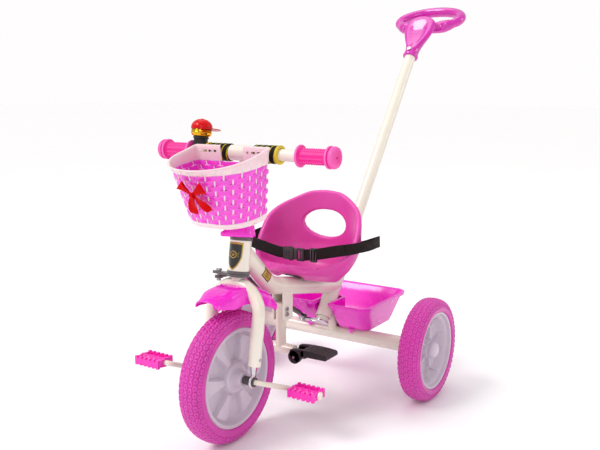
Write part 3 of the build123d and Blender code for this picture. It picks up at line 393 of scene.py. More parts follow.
def web_weave(made, size_along, size_up, strength):
    """Adds a woven rib to a material's bump."""
    tree = made.node_tree
    where = tree.nodes.new("ShaderNodeTexCoord").outputs["Object"]
    bump = [n for n in tree.nodes if n.type == "BUMP"][0]
    waves = []
    for direction, size in (("X", size_along), ("Z", size_up)):
        wave = tree.nodes.new("ShaderNodeTexWave")
        wave.bands_direction = direction
        wave.inputs["Scale"].default_value = 1000 / size / 20 * pi
        tree.links.new(where, wave.inputs["Vector"])
        waves.append(wave)
    both = tree.nodes.new("ShaderNodeMath")
    both.operation = "MULTIPLY"
    for i, wave in enumerate(waves):
        tree.links.new(wave.outputs["Fac"], both.inputs[i])
    rib = node(tree, "ShaderNodeBump", Strength=strength, Distance=0.0005)
    tree.links.new(both.outputs["Value"], rib.inputs["Height"])
    tree.links.new(bump.outputs["Normal"], rib.inputs["Normal"])
    tree.links.new(rib.outputs["Normal"], tree.nodes["Principled BSDF"].inputs["Normal"])
    return made


CREAM = (230, 220, 205)
MAGENTA = (245, 0, 205)

paint = material("cream_paint", CREAM, 0.22, coat=0.6, spread=0.05, patch=80, grain=0.05, grain_size=2.5,
                 wear_and_highlight=0.25)
pole_paint = material("pole_paint", (225, 215, 200), 0.25, coat=0.5, spread=0.04, patch=90, grain=0.05,
                      grain_size=2.5, wear_and_highlight=0.2)
seat_pink = material("seat_plastic", (220, 60, 165), 0.40, coat=0.12, coat_rough=0.35, spread=0.08, patch=70,
                     grain=0.22, grain_size=0.9, subsurface=0.08, wear_and_highlight=0.12)
magenta = material("gloss_magenta", MAGENTA, 0.24, coat=0.5, coat_rough=0.1, spread=0.10, patch=60,
                   grain=0.06, grain_size=1.8, subsurface=0.10, wear_and_highlight=0.25, wear_and_highlight_colour=(255, 90, 220))
handle_magenta = material("handle_magenta", (205, 10, 165), 0.2, coat=0.7, coat_rough=0.07, spread=0.10,
                          patch=40, grain=0.08, grain_size=2.2, subsurface=0.08, wear_and_highlight=0.25, wear_and_highlight_colour=(255,
                                                                                                         70,
                                                                                                         220))
# The strong pale edge colour on the grip paints highlights on the crests of its bumps.
grip_pink = material("grip_rubber", (235, 20, 145), 0.45, spread=0.08, patch=30, grain=0.2, grain_size=0.6,
                     subsurface=0.06, wear_and_highlight=0.7, wear_and_highlight_colour=(255, 130, 200))
pedal_pink = material("pedal_plastic", (245, 0, 170), 0.38, coat=0.3, spread=0.08, patch=25, grain=0.15,
                      grain_size=0.8, subsurface=0.08, wear_and_highlight=0.3, wear_and_highlight_colour=(255, 100, 210))
tyre_pink = material("tyre_foam", (205, 25, 160), 0.42, coat=0.25, coat_rough=0.25, spread=0.10, patch=35,
                     grain=0.25, grain_size=0.8, sheen=0.15, subsurface=0.04, wear_and_highlight=0.35, wear_and_highlight_colour=(245,
                                                                                                      110,
                                                                                                      205))
# White wheel plastic whose pink tint is partly painted bounce light from the pink parts.
wheel_white_with_painted_bounce = material("wheel_plastic", (205, 190, 205), 0.38, coat=0.2, coat_rough=0.25, spread=0.06,
                       patch=60, grain=0.12, grain_size=0.9, subsurface=0.10, wear_and_highlight=0.2)
basket_pink = material("basket_strip", (240, 60, 210), 0.28, coat=0.35, spread=0.12, patch=18, grain=0.1,
                       grain_size=1.2, subsurface=0.18, wear_and_highlight=0.25, wear_and_highlight_colour=(255, 150, 230))
basket_pale = material("basket_band", (240, 210, 215), 0.34, coat=0.3, spread=0.06, patch=40, grain=0.08,
                       grain_size=1.5, subsurface=0.25, wear_and_highlight=0.3, wear_and_highlight_colour=(255, 240, 240))
satin_red = material("bow_satin", (206, 6, 14), 0.30, spread=0.16, patch=14, grain=0.12, grain_size=0.5,
                     mirror=0.03)
black_plastic = material("black_plastic", (20, 15, 17), 0.40, spread=0.25, patch=30, grain=0.3,
                         grain_size=0.7, mirror=0.35, wear_and_highlight=0.35, wear_and_highlight_colour=(110, 100, 104))
black_metal = material("black_metal", (22, 20, 22), 0.3, coat=0.3, spread=0.2, patch=30, grain=0.12,
                       grain_size=1.0, wear_and_highlight=0.3, wear_and_highlight_colour=(120, 112, 114))
webbing = web_weave(material("webbing", (30, 22, 22), 0.72, spread=0.25, patch=16, grain=0.3, grain_size=0.5,
                             mirror=0.2), 1.6, 1.2, 0.5)
zinc = material("zinc_steel", (176, 174, 176), 0.3, metallic=1.0, spread=0.12, patch=12, grain=0.15,
                grain_size=0.6, wear_and_highlight=0.3)
chrome = material("chrome", (208, 206, 208), 0.1, metallic=1.0, spread=0.06, patch=20, grain=0.04,
                  grain_size=1.5)
gold = material("bell_gold", (226, 172, 44), 0.14, metallic=1.0, spread=0.14, patch=12, grain=0.06,
                grain_size=1.2)
cap_red = material("bell_red", (208, 6, 14), 0.24, mirror=0.15, coat=0.12, spread=0.10, patch=12, grain=0.12,
                   grain_size=0.7, wear_and_highlight=0.2, wear_and_highlight_colour=(250, 80, 80))
yellow_foam = material("yellow_foam", (214, 186, 20), 0.6, spread=0.12, patch=10, grain=0.4, grain_size=0.6,
                       sheen=0.2)
badge_gold = material("badge_gold", (190, 160, 66), 0.28, metallic=0.6, spread=0.16, patch=8, grain=0.1,
                      grain_size=0.6)
badge_black = material("badge_black", (26, 22, 18), 0.25, coat=0.5, spread=0.2, patch=8, grain=0.08,
                       grain_size=0.6)


def wound_stripes(tree, where, tone):
    """Narrow yellow lines wound round the handlebar foam."""
    link = tree.links.new
    place_on_bar = bar(0) * 0.001
    apart = tree.nodes.new("ShaderNodeSeparateXYZ")
    link(where, apart.inputs["Vector"])

    def maths(kind, a, b):
        made = tree.nodes.new("ShaderNodeMath")
        made.operation = kind
        for i, value in enumerate((a, b)):
            if isinstance(value, (int, float)):
                made.inputs[i].default_value = value
            elif value is not None:
                link(value, made.inputs[i])
        return made.outputs["Value"]
    back = maths("SUBTRACT", apart.outputs["Y"], float(place_on_bar[1]))
    up = maths("SUBTRACT", apart.outputs["Z"], float(place_on_bar[2]))
    turn = maths("MULTIPLY", maths("ARCTAN2", up, back), 1 / tau)
    along = maths("MULTIPLY", apart.outputs["X"], 1000 / WRAP_PITCH)
    phase = maths("FRACT", maths("ADD", maths("ADD", along, turn), 40.0), None)
    line = maths("LESS_THAN", phase, 0.2)
    mix = tree.nodes.new("ShaderNodeMix")
    mix.data_type = "RGBA"
    mix.inputs[7].default_value = linear((206, 188, 30))
    link(line, mix.inputs[0])
    link(tone, mix.inputs[6])
    return mix.outputs[2]


WRAP_PITCH = 12.0
wrap_foam = material("wrap_foam", (20, 17, 18), 0.62, spread=0.3, patch=8, grain=0.5, grain_size=0.8,
                     mirror=0.15,
                     stripes=wound_stripes)


# ---- tyres and wheels ----------------------------------------------------------------------------
FRONT_RADIUS, FRONT_SEAT = 127, 97          # outside of the tyre, and the rim it sits on
REAR_RADIUS, REAR_SEAT = 111.5, 84
REAR_X, TYRE_HALF = 234, 24
BLOCK_LENGTH, BLOCK_WIDTH, TREAD_DEPTH = 13.0, 9.6, 2.5
REAR_HUBS = {hand: np.array([side * REAR_X, REAR_Y, REAR_RADIUS]) for hand, side in SIDES.items()}


def tyre_profile(radius, seat, half):
    """Outside of the tyre from one rim flange over the tread to the other, as (across, radius)."""
    left = [(-half + 5, seat - 1), (-half + 1.5, seat + 1), (-half, seat + 6), (-half, radius - 17),
            (-half + 1.5, radius - 9), (-half + 7, radius - 3.2), (-half + 14, radius - 0.9), (0, radius)]
    return curve_through(left + [(-x, r) for x, r in left[-2::-1]], 110)


def tread_height(along, across, length, width):
    """Height of the staggered loop-shaped blocks, from 0 in the grooves to 1 on top."""
    row = np.round(across / width)
    shift = np.where(row % 2 == 0, 0.0, 0.5)
    d_along = (along / length + shift) - np.round(along / length + shift)
    d_across = across / width - row
    reach = ((np.abs(d_along) / 0.43) ** 3 + (np.abs(d_across) / 0.40) ** 3) ** (1 / 3)
    block = np.clip((1.12 - reach) / 0.3, 0, 1)
    eye = np.clip((0.55 - reach) / 0.25, 0, 1)
    return smooth_step(block) * (1 - 0.62 * smooth_step(eye))


def tyre(name, centre, radius, seat, body, hides):
    """A solid foam tyre whose tread is cut into its mesh."""
    half = TYRE_HALF
    profile = tyre_profile(radius, seat, half)
    step = np.hypot(*np.diff(profile, axis=0).T)
    over = np.concatenate([[0], np.cumsum(step)])
    over -= over[-1] / 2
    slope = np.gradient(profile, axis=0)
    normal = np.stack([-slope[:, 1], slope[:, 0]], 1)
    normal /= np.linalg.norm(normal, axis=1)[:, None]
    around = int(radius * 5.0)
    blocks = round(tau * radius / BLOCK_LENGTH)
    turn = np.arange(around) * tau / around
    along = turn[:, None] * blocks / tau * BLOCK_LENGTH
    tread = tread_height(along, over[None, :], BLOCK_LENGTH, BLOCK_WIDTH)
    reach = np.clip((35 - np.abs(over)) / 3, 0, 1)[None, :]
    sunk = -TREAD_DEPTH * (1 - tread) * reach
    x = profile[None, :, 0] + sunk * normal[None, :, 0]
    r = profile[None, :, 1] + sunk * normal[None, :, 1]
    rows = np.stack([centre[0] + x, centre[1] + r * np.cos(turn)[:, None],
                     centre[2] + r * np.sin(turn)[:, None]], 2)
    shape = Shape().grid(rows, wrap_rows=True)
    inner = [(half - 5, seat - 1), (half - 7, seat - 3.6), (-half + 7, seat - 3.6), (-half + 5, seat - 1)]
    shape.lathe(centre, (1, 0, 0), inner, steps=120, closed=False)
    return piece(name, shape, body, tyre_pink, hides, angle=70, merge=0.0001)


tyre("tyre_front", FRONT, FRONT_RADIUS, FRONT_SEAT, "front_wheel", ["front_tyre"])
for hand, hub in REAR_HUBS.items():
    tyre("tyre_rear_" + hand, hub, REAR_RADIUS, REAR_SEAT, "rear_wheel_" + hand,
         ["rear_tyre_" + hand])


def wheel_face(shape, centre, side, depth, rings):
    """One face of a moulded wheel, as a height field over rings and angles."""
    turn = np.arange(360) * tau / 360
    rows = []
    for r in rings:
        d = depth(r, turn)
        rows.append(np.stack([centre[0] + side * d, centre[1] + r * np.cos(turn),
                              centre[2] + r * np.sin(turn)], 1))
    return shape.grid(rows, wrap=True)


def front_face(r, turn):
    """Front wheel: round hub boss, six flared wedges standing up between sunken pockets, deep rim."""
    boss = (9 + 10 * (1 - step_up(r, 27, 33)) + 17.0 * (1 - step_up(r, 14, 18.5))
            - 1.2 * (1 - step_up(r, 10, 12)))
    sector = np.abs(((turn / tau * 6 + 0.5) % 1) - 0.5) * 2
    half_wedge = 0.30 + 0.10 * step_up(r, 40, 80)
    wedge = 1 - step_up(sector, half_wedge, half_wedge + 2.4 / r * 3)
    inside = step_up(r, 30, 35) * (1 - step_up(r, 80, 86))
    rise = (7.5 - 3.0 * step_up(r, 36, 84)) * (1 - sector * 0.7)
    pocket = -6.5 * (1 - wedge) * inside + rise * wedge * inside
    rim = 12 * step_up(r, 84, 90)
    groove = 2.2 * step_up(r, 95.0, 97.0) + 1.1 * step_up(r, 91.5, 93.5) * (1 - step_up(r, 94, 95))
    return boss + pocket + rim - groove


rings = np.concatenate([np.linspace(5.2, 34, 30), np.linspace(35, 80, 46), np.linspace(80.5, 92.5, 16),
                        [93.4, 94.4, 95.4, 96.2, 96.8, 97.0]])
wheel = Shape()
for side in (1, -1):
    wheel_face(wheel, FRONT, side, front_face, rings)
wheel.lathe(FRONT, (1, 0, 0), [(18.8, 97), (18, 96.8), (18, 93), (-18, 93), (-18, 96.8), (-18.8, 97)], 180,
            closed=False)
wheel.lathe(FRONT, (1, 0, 0), [(34.8, 5.2), (-34.8, 5.2)], 48, closed=False)
piece("rim_front", wheel, "front_wheel", wheel_white_with_painted_bounce, ["front_rim"], angle=50, merge=0.001)


def rear_face(r, turn):
    """Rear wheel: deep dish with five Y-shaped ribs standing off its floor."""
    floor = -7 + 15 * (1 - step_up(r, 19, 22.5)) + 19.0 * step_up(r, 63, 76)
    sector = (((turn / tau * 5 + 0.5) % 1) - 0.5) * tau / 5
    spread = np.where(r > 42, (r - 42) / 24 * 0.24, 0.0)
    gap = np.abs(np.abs(sector) - spread) * r
    rib = 1 - step_up(gap, 1.7, 2.6)
    height = (9.0 - 4.0 * step_up(r, 20, 70)) * step_up(r, 18, 22) * (1 - step_up(r, 68, 74))
    window = step_up(gap, 3.5, 4.5) * step_up(r, 30, 33) * (1 - step_up(r, 56, 60))
    return floor + rib * height - window * 2.5


def rear_inner(r, turn):
    """Rear wheel from inside: a plain dish round its hub."""
    return np.full_like(turn, 12 + 13 * (1 - step_up(r, 17, 21)) + 9 * step_up(r, 66, 78))


rear_rings = np.concatenate([np.linspace(5.2, 24, 22), np.linspace(25, 62, 42), np.linspace(62.6, 79, 26),
                             [80.2, 81.4, 82.4, 83.2, 83.8, 84.0]])
REAR_FLANGE = 21


def flanged(depth):
    """A face that runs out into the rim's flange."""
    def shaped(r, turn):
        edge = step_up(r, 76, 79.5)
        return depth(r, turn) * (1 - edge) + REAR_FLANGE * edge - 2.4 * step_up(r, 82.2, 84.0)
    return shaped


for hand, side in SIDES.items():
    hub = REAR_HUBS[hand]
    wheel = Shape()
    for facing, depth in ((side, rear_face), (-side, rear_inner)):
        wheel_face(wheel, hub, facing, flanged(depth), rear_rings)
    wheel.lathe(hub, (1, 0, 0), [(18.6, 84), (18, 83.6), (18, 80), (-18, 80), (-18, 83.6), (-18.6, 84)], 160,
                closed=False)
    wheel.lathe(hub, (side, 0, 0), [(8, 5.2), (-25, 5.2)], 48, closed=False)
    piece("rim_rear_" + hand, wheel, "rear_wheel_" + hand, wheel_white_with_painted_bounce, ["rear_rim_" + hand],
          angle=50, merge=0.001)
    cap = Shape().lathe(hub, (side, 0, 0), soften(
        [(8, 12), (8, 18.5), (15.5, 18.2), (20.5, 14.5), (23.2, 8), (24, 0.02), (22, 0.02), (19, 10),
         (16, 12)],
        2.5, 5, True), 64)
    piece("cap_rear_" + hand, cap, "rear_wheel_" + hand, wheel_white_with_painted_bounce, ["hub_cap_" + hand],
          angle=50)


# ---- basket --------------------------------------------------------------------------------------
BASKET_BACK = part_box("basket")[1].y * 1000
FLOOR_Z, FLOOR_FALL = 437, 0.29       # height at the back, and fall towards the front
RIM_Z, RIM_FALL = 563, 0.2736
RIBS, CELLS, WEAVE_ROWS = 30, 240, 10
WEAVE_FOOT, BAND_FOOT = 0.085, 0.83   # the weave runs between these shares of the height


def d_outline(share, grow=0.0):
    """The basket's level outline: flat back, round front. share runs from 0 at its foot to 1 at its rim."""
    half = 79 + share * 6 + grow
    depth = 64.5 + share * 64 + grow
    corner = min(0.60 * depth + 6 + 16 * (1 - share), half - 4)
    small, wall, flat = 5.0, grow - 2.0, 0.94
    path = arc((half - small, wall - small), small, 0, 90, 8)
    path += [(x, wall) for x in np.linspace(half - small, -half + small, 30)[1:-1]]
    path += arc((-half + small, wall - small), small, 90, 180, 8)
    path += arc((-half + corner, -depth + corner * flat), corner, 180, 270, 24, flat)
    path += arc((half - corner, -depth + corner * flat), corner, 270, 360, 24, flat)
    path = np.array(path)
    ring = np.vstack([path, path[:1]])
    length = np.concatenate([[0], np.cumsum(np.hypot(*np.diff(ring, axis=0).T))])
    even = np.linspace(0, length[-1], CELLS, endpoint=False)
    return np.stack([np.interp(even, length, ring[:, k]) for k in (0, 1)], 1)


def basket_ring(share, grow=0.0):
    """A level line of the basket, whose floor, band and rim all slope down to the front."""
    outline = d_outline(share, grow)
    floor = FLOOR_Z + FLOOR_FALL * outline[:, 1]
    rim = RIM_Z + RIM_FALL * outline[:, 1]
    ahead = outline[:, 1] / outline[:, 1].min()
    foot = 0.77 + 0.12 * ahead
    if share > BAND_FOOT:
        share = foot + (1 - foot) * (share - BAND_FOOT) / (1 - BAND_FOOT)
    elif share > WEAVE_FOOT:
        share = WEAVE_FOOT + (foot - WEAVE_FOOT) * (share - WEAVE_FOOT) / (BAND_FOOT - WEAVE_FOOT)
    z = floor + (rim - floor) * share
    return np.stack([outline[:, 0], BASKET_BACK + outline[:, 1], z], 1)


RIM_CELLS = basket_ring(1.0)


def build_basket():
    """Pale band, foot, ribs and floor strips in slot 1, and pink strips woven round the ribs in slot 0."""
    basket = Shape()
    aside = np.abs(RIM_CELLS[:, 0])
    back = RIM_CELLS[:, 1] > BASKET_BACK - 2.5
    open_cell = back & (aside < 29)
    slot_cell = back & (aside > 32) & (aside < 80) & (((aside - 32) / 2.05).astype(int) % 6 > 1)

    def skip(i, j):
        if open_cell[j] and open_cell[(j + 1) % CELLS]:
            return True
        return slot_cell[j] and i in (2, 10)
    band = [(0.83, 0), (0.84, 0.5), (0.925, 0.5), (0.95, 0.5), (0.965, 0.5), (0.975, 2.0), (0.99, 2.6),
            (1.0, 2.0), (1.0, -1.2), (0.985, -2.2), (0.95, -2.2), (0.925, -2.2), (0.84, -2.2), (0.83, -1.6)]
    basket.grid([basket_ring(share, grow - 0.6) for share, grow in band], wrap=True, wrap_rows=True, slot=1,
                skip=skip)
    foot = [(0.0, -2.6), (0.0, -0.4), (0.02, 0.6), (0.075, 0.6), (0.085, 0), (0.085, -1.8), (0.02, -2.4)]
    basket.grid([basket_ring(share, grow - 0.4) for share, grow in foot], wrap=True, wrap_rows=True, slot=1)

    outward = basket_ring(1.0, 1.0) - basket_ring(1.0)
    levels = [basket_ring(share, -1.1) for share in np.linspace(0.06, 0.965, 30)]
    for rib in np.arange(RIBS) * CELLS // RIBS:
        if open_cell[rib]:
            continue
        points = [ring[rib] + outward[rib] * 1.1 * step_up(k, 24, 26) for k, ring in enumerate(levels)]
        across = [ring[(rib + 1) % CELLS] - ring[rib - 1] for ring in levels]
        basket.strap(points, across, 3.0, 1.5, slot=1)

    pitch = (BAND_FOOT - WEAVE_FOOT) / WEAVE_ROWS
    phase = np.arange(CELLS) / CELLS * RIBS * pi
    for row in range(WEAVE_ROWS):
        wave = np.cos(phase + pi * row) * 1.15
        loops = []
        for start, stop, sunk, swell in ((0.015, 0.985, 0.9, 0.65), (0.985, 0.015, 2.2, -0.2)):
            for t in np.linspace(start, stop, 6):
                share = WEAVE_FOOT + pitch * (row + t)
                ring = basket_ring(share)
                out = basket_ring(share, 1.0) - ring
                loops.append(ring + out * (wave - sunk + swell * sin(pi * t))[:, None])
        basket.grid(loops, wrap=True, wrap_rows=True)

    def floor_at(y):
        return FLOOR_Z - FLOOR_FALL * (BASKET_BACK - y)
    foot_ring = basket_ring(0.012, -2.2)
    for x in range(-72, 73, 12):
        inside = foot_ring[np.abs(foot_ring[:, 0] - x) < 4]
        strip = [(x, y, floor_at(y) + 1.2) for y in np.linspace(inside[:, 1].max(), inside[:, 1].min(), 5)]
        basket.strap(strip, [(1, 0, 0)] * 5, 5.0, 1.6, slot=1)
    for k in range(5):
        y = BASKET_BACK - 8 - 12 * k
        inside = foot_ring[np.abs(foot_ring[:, 1] - y) < 4]
        right = np.abs(inside[:, 0]).max() - 1
        strip = [(x, y, floor_at(y) + 2.2) for x in np.linspace(-right, right, 7)]
        basket.strap(strip, [(0, 1, 0.3)] * 7, 5.0, 1.6, slot=1)
    return basket


piece("woven_basket", build_basket(), "steering", [basket_pink, basket_pale], ["basket"],
      angle=48, merge=0.001)


# ---- bow -----------------------------------------------------------------------------------------
def basket_front(share):
    """The foremost point just outside the basket at a share of its height."""
    ring = basket_ring(share, 2.0)
    return ring[np.argmin(ring[:, 1])]


def build_bow():
    """Two loops, two tails and a knot, each a bent strip of ribbon."""
    knot_z = 487.0
    up, right = unit(basket_front(0.8) - basket_front(0.2)), np.array([1.0, 0, 0])
    out = unit(np.cross(up, right))
    if out[1] > 0:
        out = -out
    knot = np.array([0, basket_front((knot_z - 408) / 120.0)[1], knot_z]) + out * 4.5
    bow = Shape()

    def at(x, y, z):
        return knot + right * x + up * y + out * z
    for side in (1, -1):
        rise = 0.74 if side < 0 else 0.52
        points, across, widths = [], [], []
        for k in range(33):
            t = k / 32
            reach = (31 if side < 0 else 33) * sin(pi * t) ** 0.8
            lift = (1 - 2 * t) * 3.6 * sin(pi * t) + 0.6
            points.append(at(side * reach * cos(rise), reach * sin(rise) + 0.5 * (1 - 2 * t), 1.6 + lift))
            across.append(-right * side * sin(rise) + up * cos(rise) + out * 0.12 * sin(3 * pi * t))
            widths.append(6.0 + 18.0 * sin(pi * t) ** 1.2)
        bow.strap(points, across, widths, 0.7)
        points, across, widths = [], [], []
        drop = 1.38 if side < 0 else 0.88
        for k in range(21):
            t = k / 20
            reach = 45 * t
            points.append(at(side * reach * cos(drop) + side * 2 * sin(pi * t), -reach * sin(drop),
                             0.3 - 1.8 * t + 2.2 * sin(pi * t)))
            across.append(right * sin(drop) + up * side * cos(drop) + out * 0.25 * sin(2 * pi * t))
            widths.append(6 + 12.5 * sin(pi * min(t, 0.62)) * 0.95 - (4.5 if t > 0.97 else 0))
        bow.strap(points, across, widths, 0.7)
    bow.strap([at(0, 5.2 * sin(a), 2.4 + 3.2 * cos(a)) for a in full_turn(24)],
              [right] * 24, [8.0 + 0.8 * sin(5 * a) for a in full_turn(24)], 0.9,
              closed=True)
    return bow


piece("ribbon_bow", build_bow(), "steering", satin_red, ["basket_bow"], subdivide=1, angle=60)


# ---- seat ----------------------------------------------------------------------------------------
SEAT_Y = REAR_Y - 125
SEAT_SLOPE = 0.204           # the pan leans back like the tube under it
RIM_BY_ANGLE = ((0, 446), (20, 442), (38, 428), (55, 413), (66, 401), (76, 385), (86, 360), (96, 341),
                (108, 326),
                (122, 313), (138, 303), (154, 297), (167, 303), (180, 311))


def wall_reach(z):
    """Half-width and half-depth of the seat's outside at a height."""
    heights = (262, 285, 305, 325, 350, 385, 415, 446)
    return (np.interp(z, heights, (76, 98, 112, 121, 125, 126, 124, 120)),
            np.interp(z, heights, (70, 83, 90, 93, 94.5, 95, 94, 91.5)))


def build_seat():
    """One moulded shell: skirt, outside wall, rolled rim, inside wall and pan, with the hand hole cut out."""
    wall, steps = 13.0, 144
    rows = []
    angles = np.arange(steps) * 360 / steps
    folded = np.where(angles > 180, 360 - angles, angles)
    table = curve_through(np.array(RIM_BY_ANGLE, float), 200)
    rim = np.interp(folded, table[:, 0], table[:, 1])
    for angle, top in zip(angles, rim):
        a = radians(angle)
        direction = np.array([sin(a), cos(a)])

        def at(z, inset):
            rx, ry = wall_reach(z)
            ry += 5 * max(0.0, direction[1]) * step_up(z, 290, 330)
            return np.array([direction[0] * (rx - inset), SEAT_Y + direction[1] * (ry - inset), z])
        foot = 270.5 - SEAT_SLOPE * (direction[1] * 66)
        skirt = 8 * step_up(abs(direction[0]) * 66, 22, 34)
        path = [np.array([direction[0] * 30, SEAT_Y + direction[1] * 28,
                          270.5 - SEAT_SLOPE * direction[1] * 28]),
                np.array([direction[0] * 56, SEAT_Y + direction[1] * 53, foot]),
                np.array([direction[0] * 61, SEAT_Y + direction[1] * 58, foot - skirt]),
                np.array([direction[0] * 70, SEAT_Y + direction[1] * 66, foot + 0.5 - skirt]),
                np.array([direction[0] * 75, SEAT_Y + direction[1] * 70, foot + 5 - skirt])]
        low = max(foot + 9, 272)
        for t in np.linspace(0, 1, 12):
            path.append(at(low + (top - 5 - low) * t, 0))
        for t in np.linspace(0.15, 0.85, 6):
            path.append(at(top - 5 + 5 * sin(pi * t), wall / 2 - wall / 2 * cos(pi * t)))
        inner_low = foot + 15
        for t in np.linspace(0, 1, 12):
            z = top - 5 + (inner_low + 10 - top + 5) * t
            path.append(at(z, wall + 3 * smooth_step(t)))
        path.append(np.array([direction[0] * 52, SEAT_Y + direction[1] * 48, foot + 11]))
        path.append(np.array([direction[0] * 25, SEAT_Y + direction[1] * 22,
                              278.5 - SEAT_SLOPE * direction[1] * 22]))
        rows.append(path)
    shell = Shape()
    rows = np.array(rows)
    shell.grid(rows, wrap_rows=True)
    shell.add(rows[:, 0], [tuple(range(steps))])
    shell.add(rows[:, -1], [tuple(range(steps))[::-1]])
    hole = Shape().lathe((0, SEAT_Y + 20, 371), (0, 1, 0), [(0, 0.01), (0, 31), (110, 31), (110, 0.01)], 72)
    hole.verts = [(x * 1.79, y, z + 0.03 * abs(x)) for x, y, z in hole.verts]
    return moulded(shell, 2.2, 7, [hole])


piece("seat_shell", build_seat(), "frame", seat_pink, ["seat"], angle=65)


# ---- belt ----------------------------------------------------------------------------------------
BELT_Y = REAR_Y - 162
BELT_Z = 335.0
BUCKLE_DROP = -12.0
BUCKLE_Z = BELT_Z + BUCKLE_DROP
SLIDER_Z = BUCKLE_Z + 2.5


def build_belt():
    """Webbing round the seat, hanging a little between the points that hold it."""
    belt = Shape()
    route = [(21, 0, BUCKLE_DROP), (60, 0, -5), (96, -1, 4), (124, 4, 10), (141, 22, 14), (149, 48, 15),
             (150, 74, 15), (144, 102, 12), (124, 128, 4), (84, 140, -10), (40, 141, -16), (0, 141, -17),
             (-40, 141, -15), (-80, 139, -8), (-114, 128, 6), (-134, 100, 12), (-140, 62, 11), (-139, 30, 7),
             (-131, 8, 4), (-112, 0, 1), (-80, -1, -5), (-48, 0, BUCKLE_DROP + 1), (-31, 0, BUCKLE_DROP)]
    points = curve_through([(x, BELT_Y + y, BELT_Z + z) for x, y, z in route], 220)
    along = np.linspace(0, 1, len(points))
    across = [(0.10 * sin(9 * t), 0.16 * sin(14 * t + 1), 1) for t in along]
    points[:, 2] += 1.5 * np.sin(along * 23) * np.sin(along * pi)
    belt.strap(points, across, 23.5, 1.8)
    doubled = [(118, -1, 9), (92, -4.6, 3), (70, -3.8, -2), (52, -4.2, -6)]
    loose = curve_through([(x, BELT_Y + y, BELT_Z + z) for x, y, z in doubled], 40)
    belt.strap(loose, [(0, 0.05, 1)] * 40, 22.5, 1.6)
    return belt


piece("belt_webbing", build_belt(), "frame", webbing, ["seat_belt"], angle=50)


def build_buckle():
    """Side-release buckle: a ribbed socket with open sides."""
    half = Shape()
    y = BELT_Y
    half.block((-17, y, BUCKLE_Z + 9.5), (24, 8.5, 7), chamfer=0.5)
    half.block((-17, y, BUCKLE_Z - 9.5), (24, 8.5, 7), chamfer=0.5)
    half.block((-8.5, y, BUCKLE_Z), (8, 9.4, 25), chamfer=0.5)
    half.block((-27.5, y, BUCKLE_Z), (6, 9, 26), chamfer=0.5)
    half.block((-17, y - 0.4, BUCKLE_Z), (19, 5.6, 13), chamfer=0.4)
    for k in range(4):
        half.block((-23 + 4 * k, y - 3.4, BUCKLE_Z), (1.4, 2.0, 11), chamfer=0.6)
    return half


def build_tongue():
    """The buckle's other half: two sprung prongs and a ladder bar for the webbing."""
    half = Shape()
    y = BELT_Y
    half.block((0.5, y, BUCKLE_Z), (9, 8, 22), chamfer=0.5)
    half.block((17.5, y, BUCKLE_Z), (6, 8.6, 27), chamfer=0.6)
    half.block((10, y, BUCKLE_Z + 11.2), (16, 7, 4.6), chamfer=0.6)
    half.block((10, y, BUCKLE_Z - 11.2), (16, 7, 4.6), chamfer=0.6)
    half.block((9.5, y + 1, BUCKLE_Z), (3.4, 4, 22), chamfer=0.6)
    for side in (1, -1):
        prong = [(x, y, BUCKLE_Z + side * z) for x, z in ((-3, 8), (-9, 12.2), (-15, 13), (-19, 10))]
        half.tube(curve_through(prong, 18), 2.6, 12)
    return half


def build_slider():
    """Strap adjuster with a centre bar."""
    slide = Shape()
    for x in (37.6, 44, 50.4):
        slide.block((x, BELT_Y - 0.4, SLIDER_Z), (2.9, 6.6, 28), chamfer=0.6)
    for z in (-13, 13):
        slide.block((44, BELT_Y - 0.4, SLIDER_Z + z), (15.4, 6.2, 3.6), chamfer=0.6)
    return slide


piece("buckle_socket", build_buckle(), "frame", black_plastic, ["belt_buckle"], bevel=0.7)
piece("buckle_tongue", build_tongue(), "frame", black_plastic, ["belt_tongue"], bevel=0.7)
piece("strap_slider", build_slider(), "frame", black_plastic, ["belt_slider"], bevel=0.6)


# ---- rear bucket ---------------------------------------------------------------------------------
def bucket_outline(share, grow):
    """Level outline of the tub with its slot at the front; share runs from 0 at the floor to 1 at the rim."""
    half = 97 + share * 17
    front, back = REAR_Y - 16 - share * 47, REAR_Y + 108 + share * 35
    notch, deep = 21.5, REAR_Y + 16
    corner, slot_round = 24.0 + grow, 13.0 - grow
    half, front, back, notch, deep = half + grow, front - grow, back + grow, notch - grow, deep - grow
    lip = 4.0 + grow
    path = arc((half - corner, back - corner), corner, 0, 90, 12)
    path += between((half - corner, back), (-half + corner, back), 16)
    path += arc((-half + corner, back - corner), corner, 90, 180, 12)
    path += between((-half, back - corner), (-half, front + corner), 12)
    path += arc((-half + corner, front + corner), corner, 180, 270, 12)
    path += between((-half + corner, front), (-notch - lip, front), 8)
    path += arc((-notch - lip, front + lip), lip, 270, 360, 6)
    path += between((-notch, front + lip), (-notch, deep - slot_round), 10)
    path += arc((-notch + slot_round, deep - slot_round), slot_round, 180, 90, 8)
    path += arc((notch - slot_round, deep - slot_round), slot_round, 90, 0, 8)
    path += between((notch, deep - slot_round), (notch, front + lip), 10)
    path += arc((notch + lip, front + lip), lip, 180, 270, 6)
    path += between((notch + lip, front), (half - corner, front), 8)
    path += arc((half - corner, front + corner), corner, 270, 360, 12)
    return path + between((half, front + corner), (half, back - corner), 12)


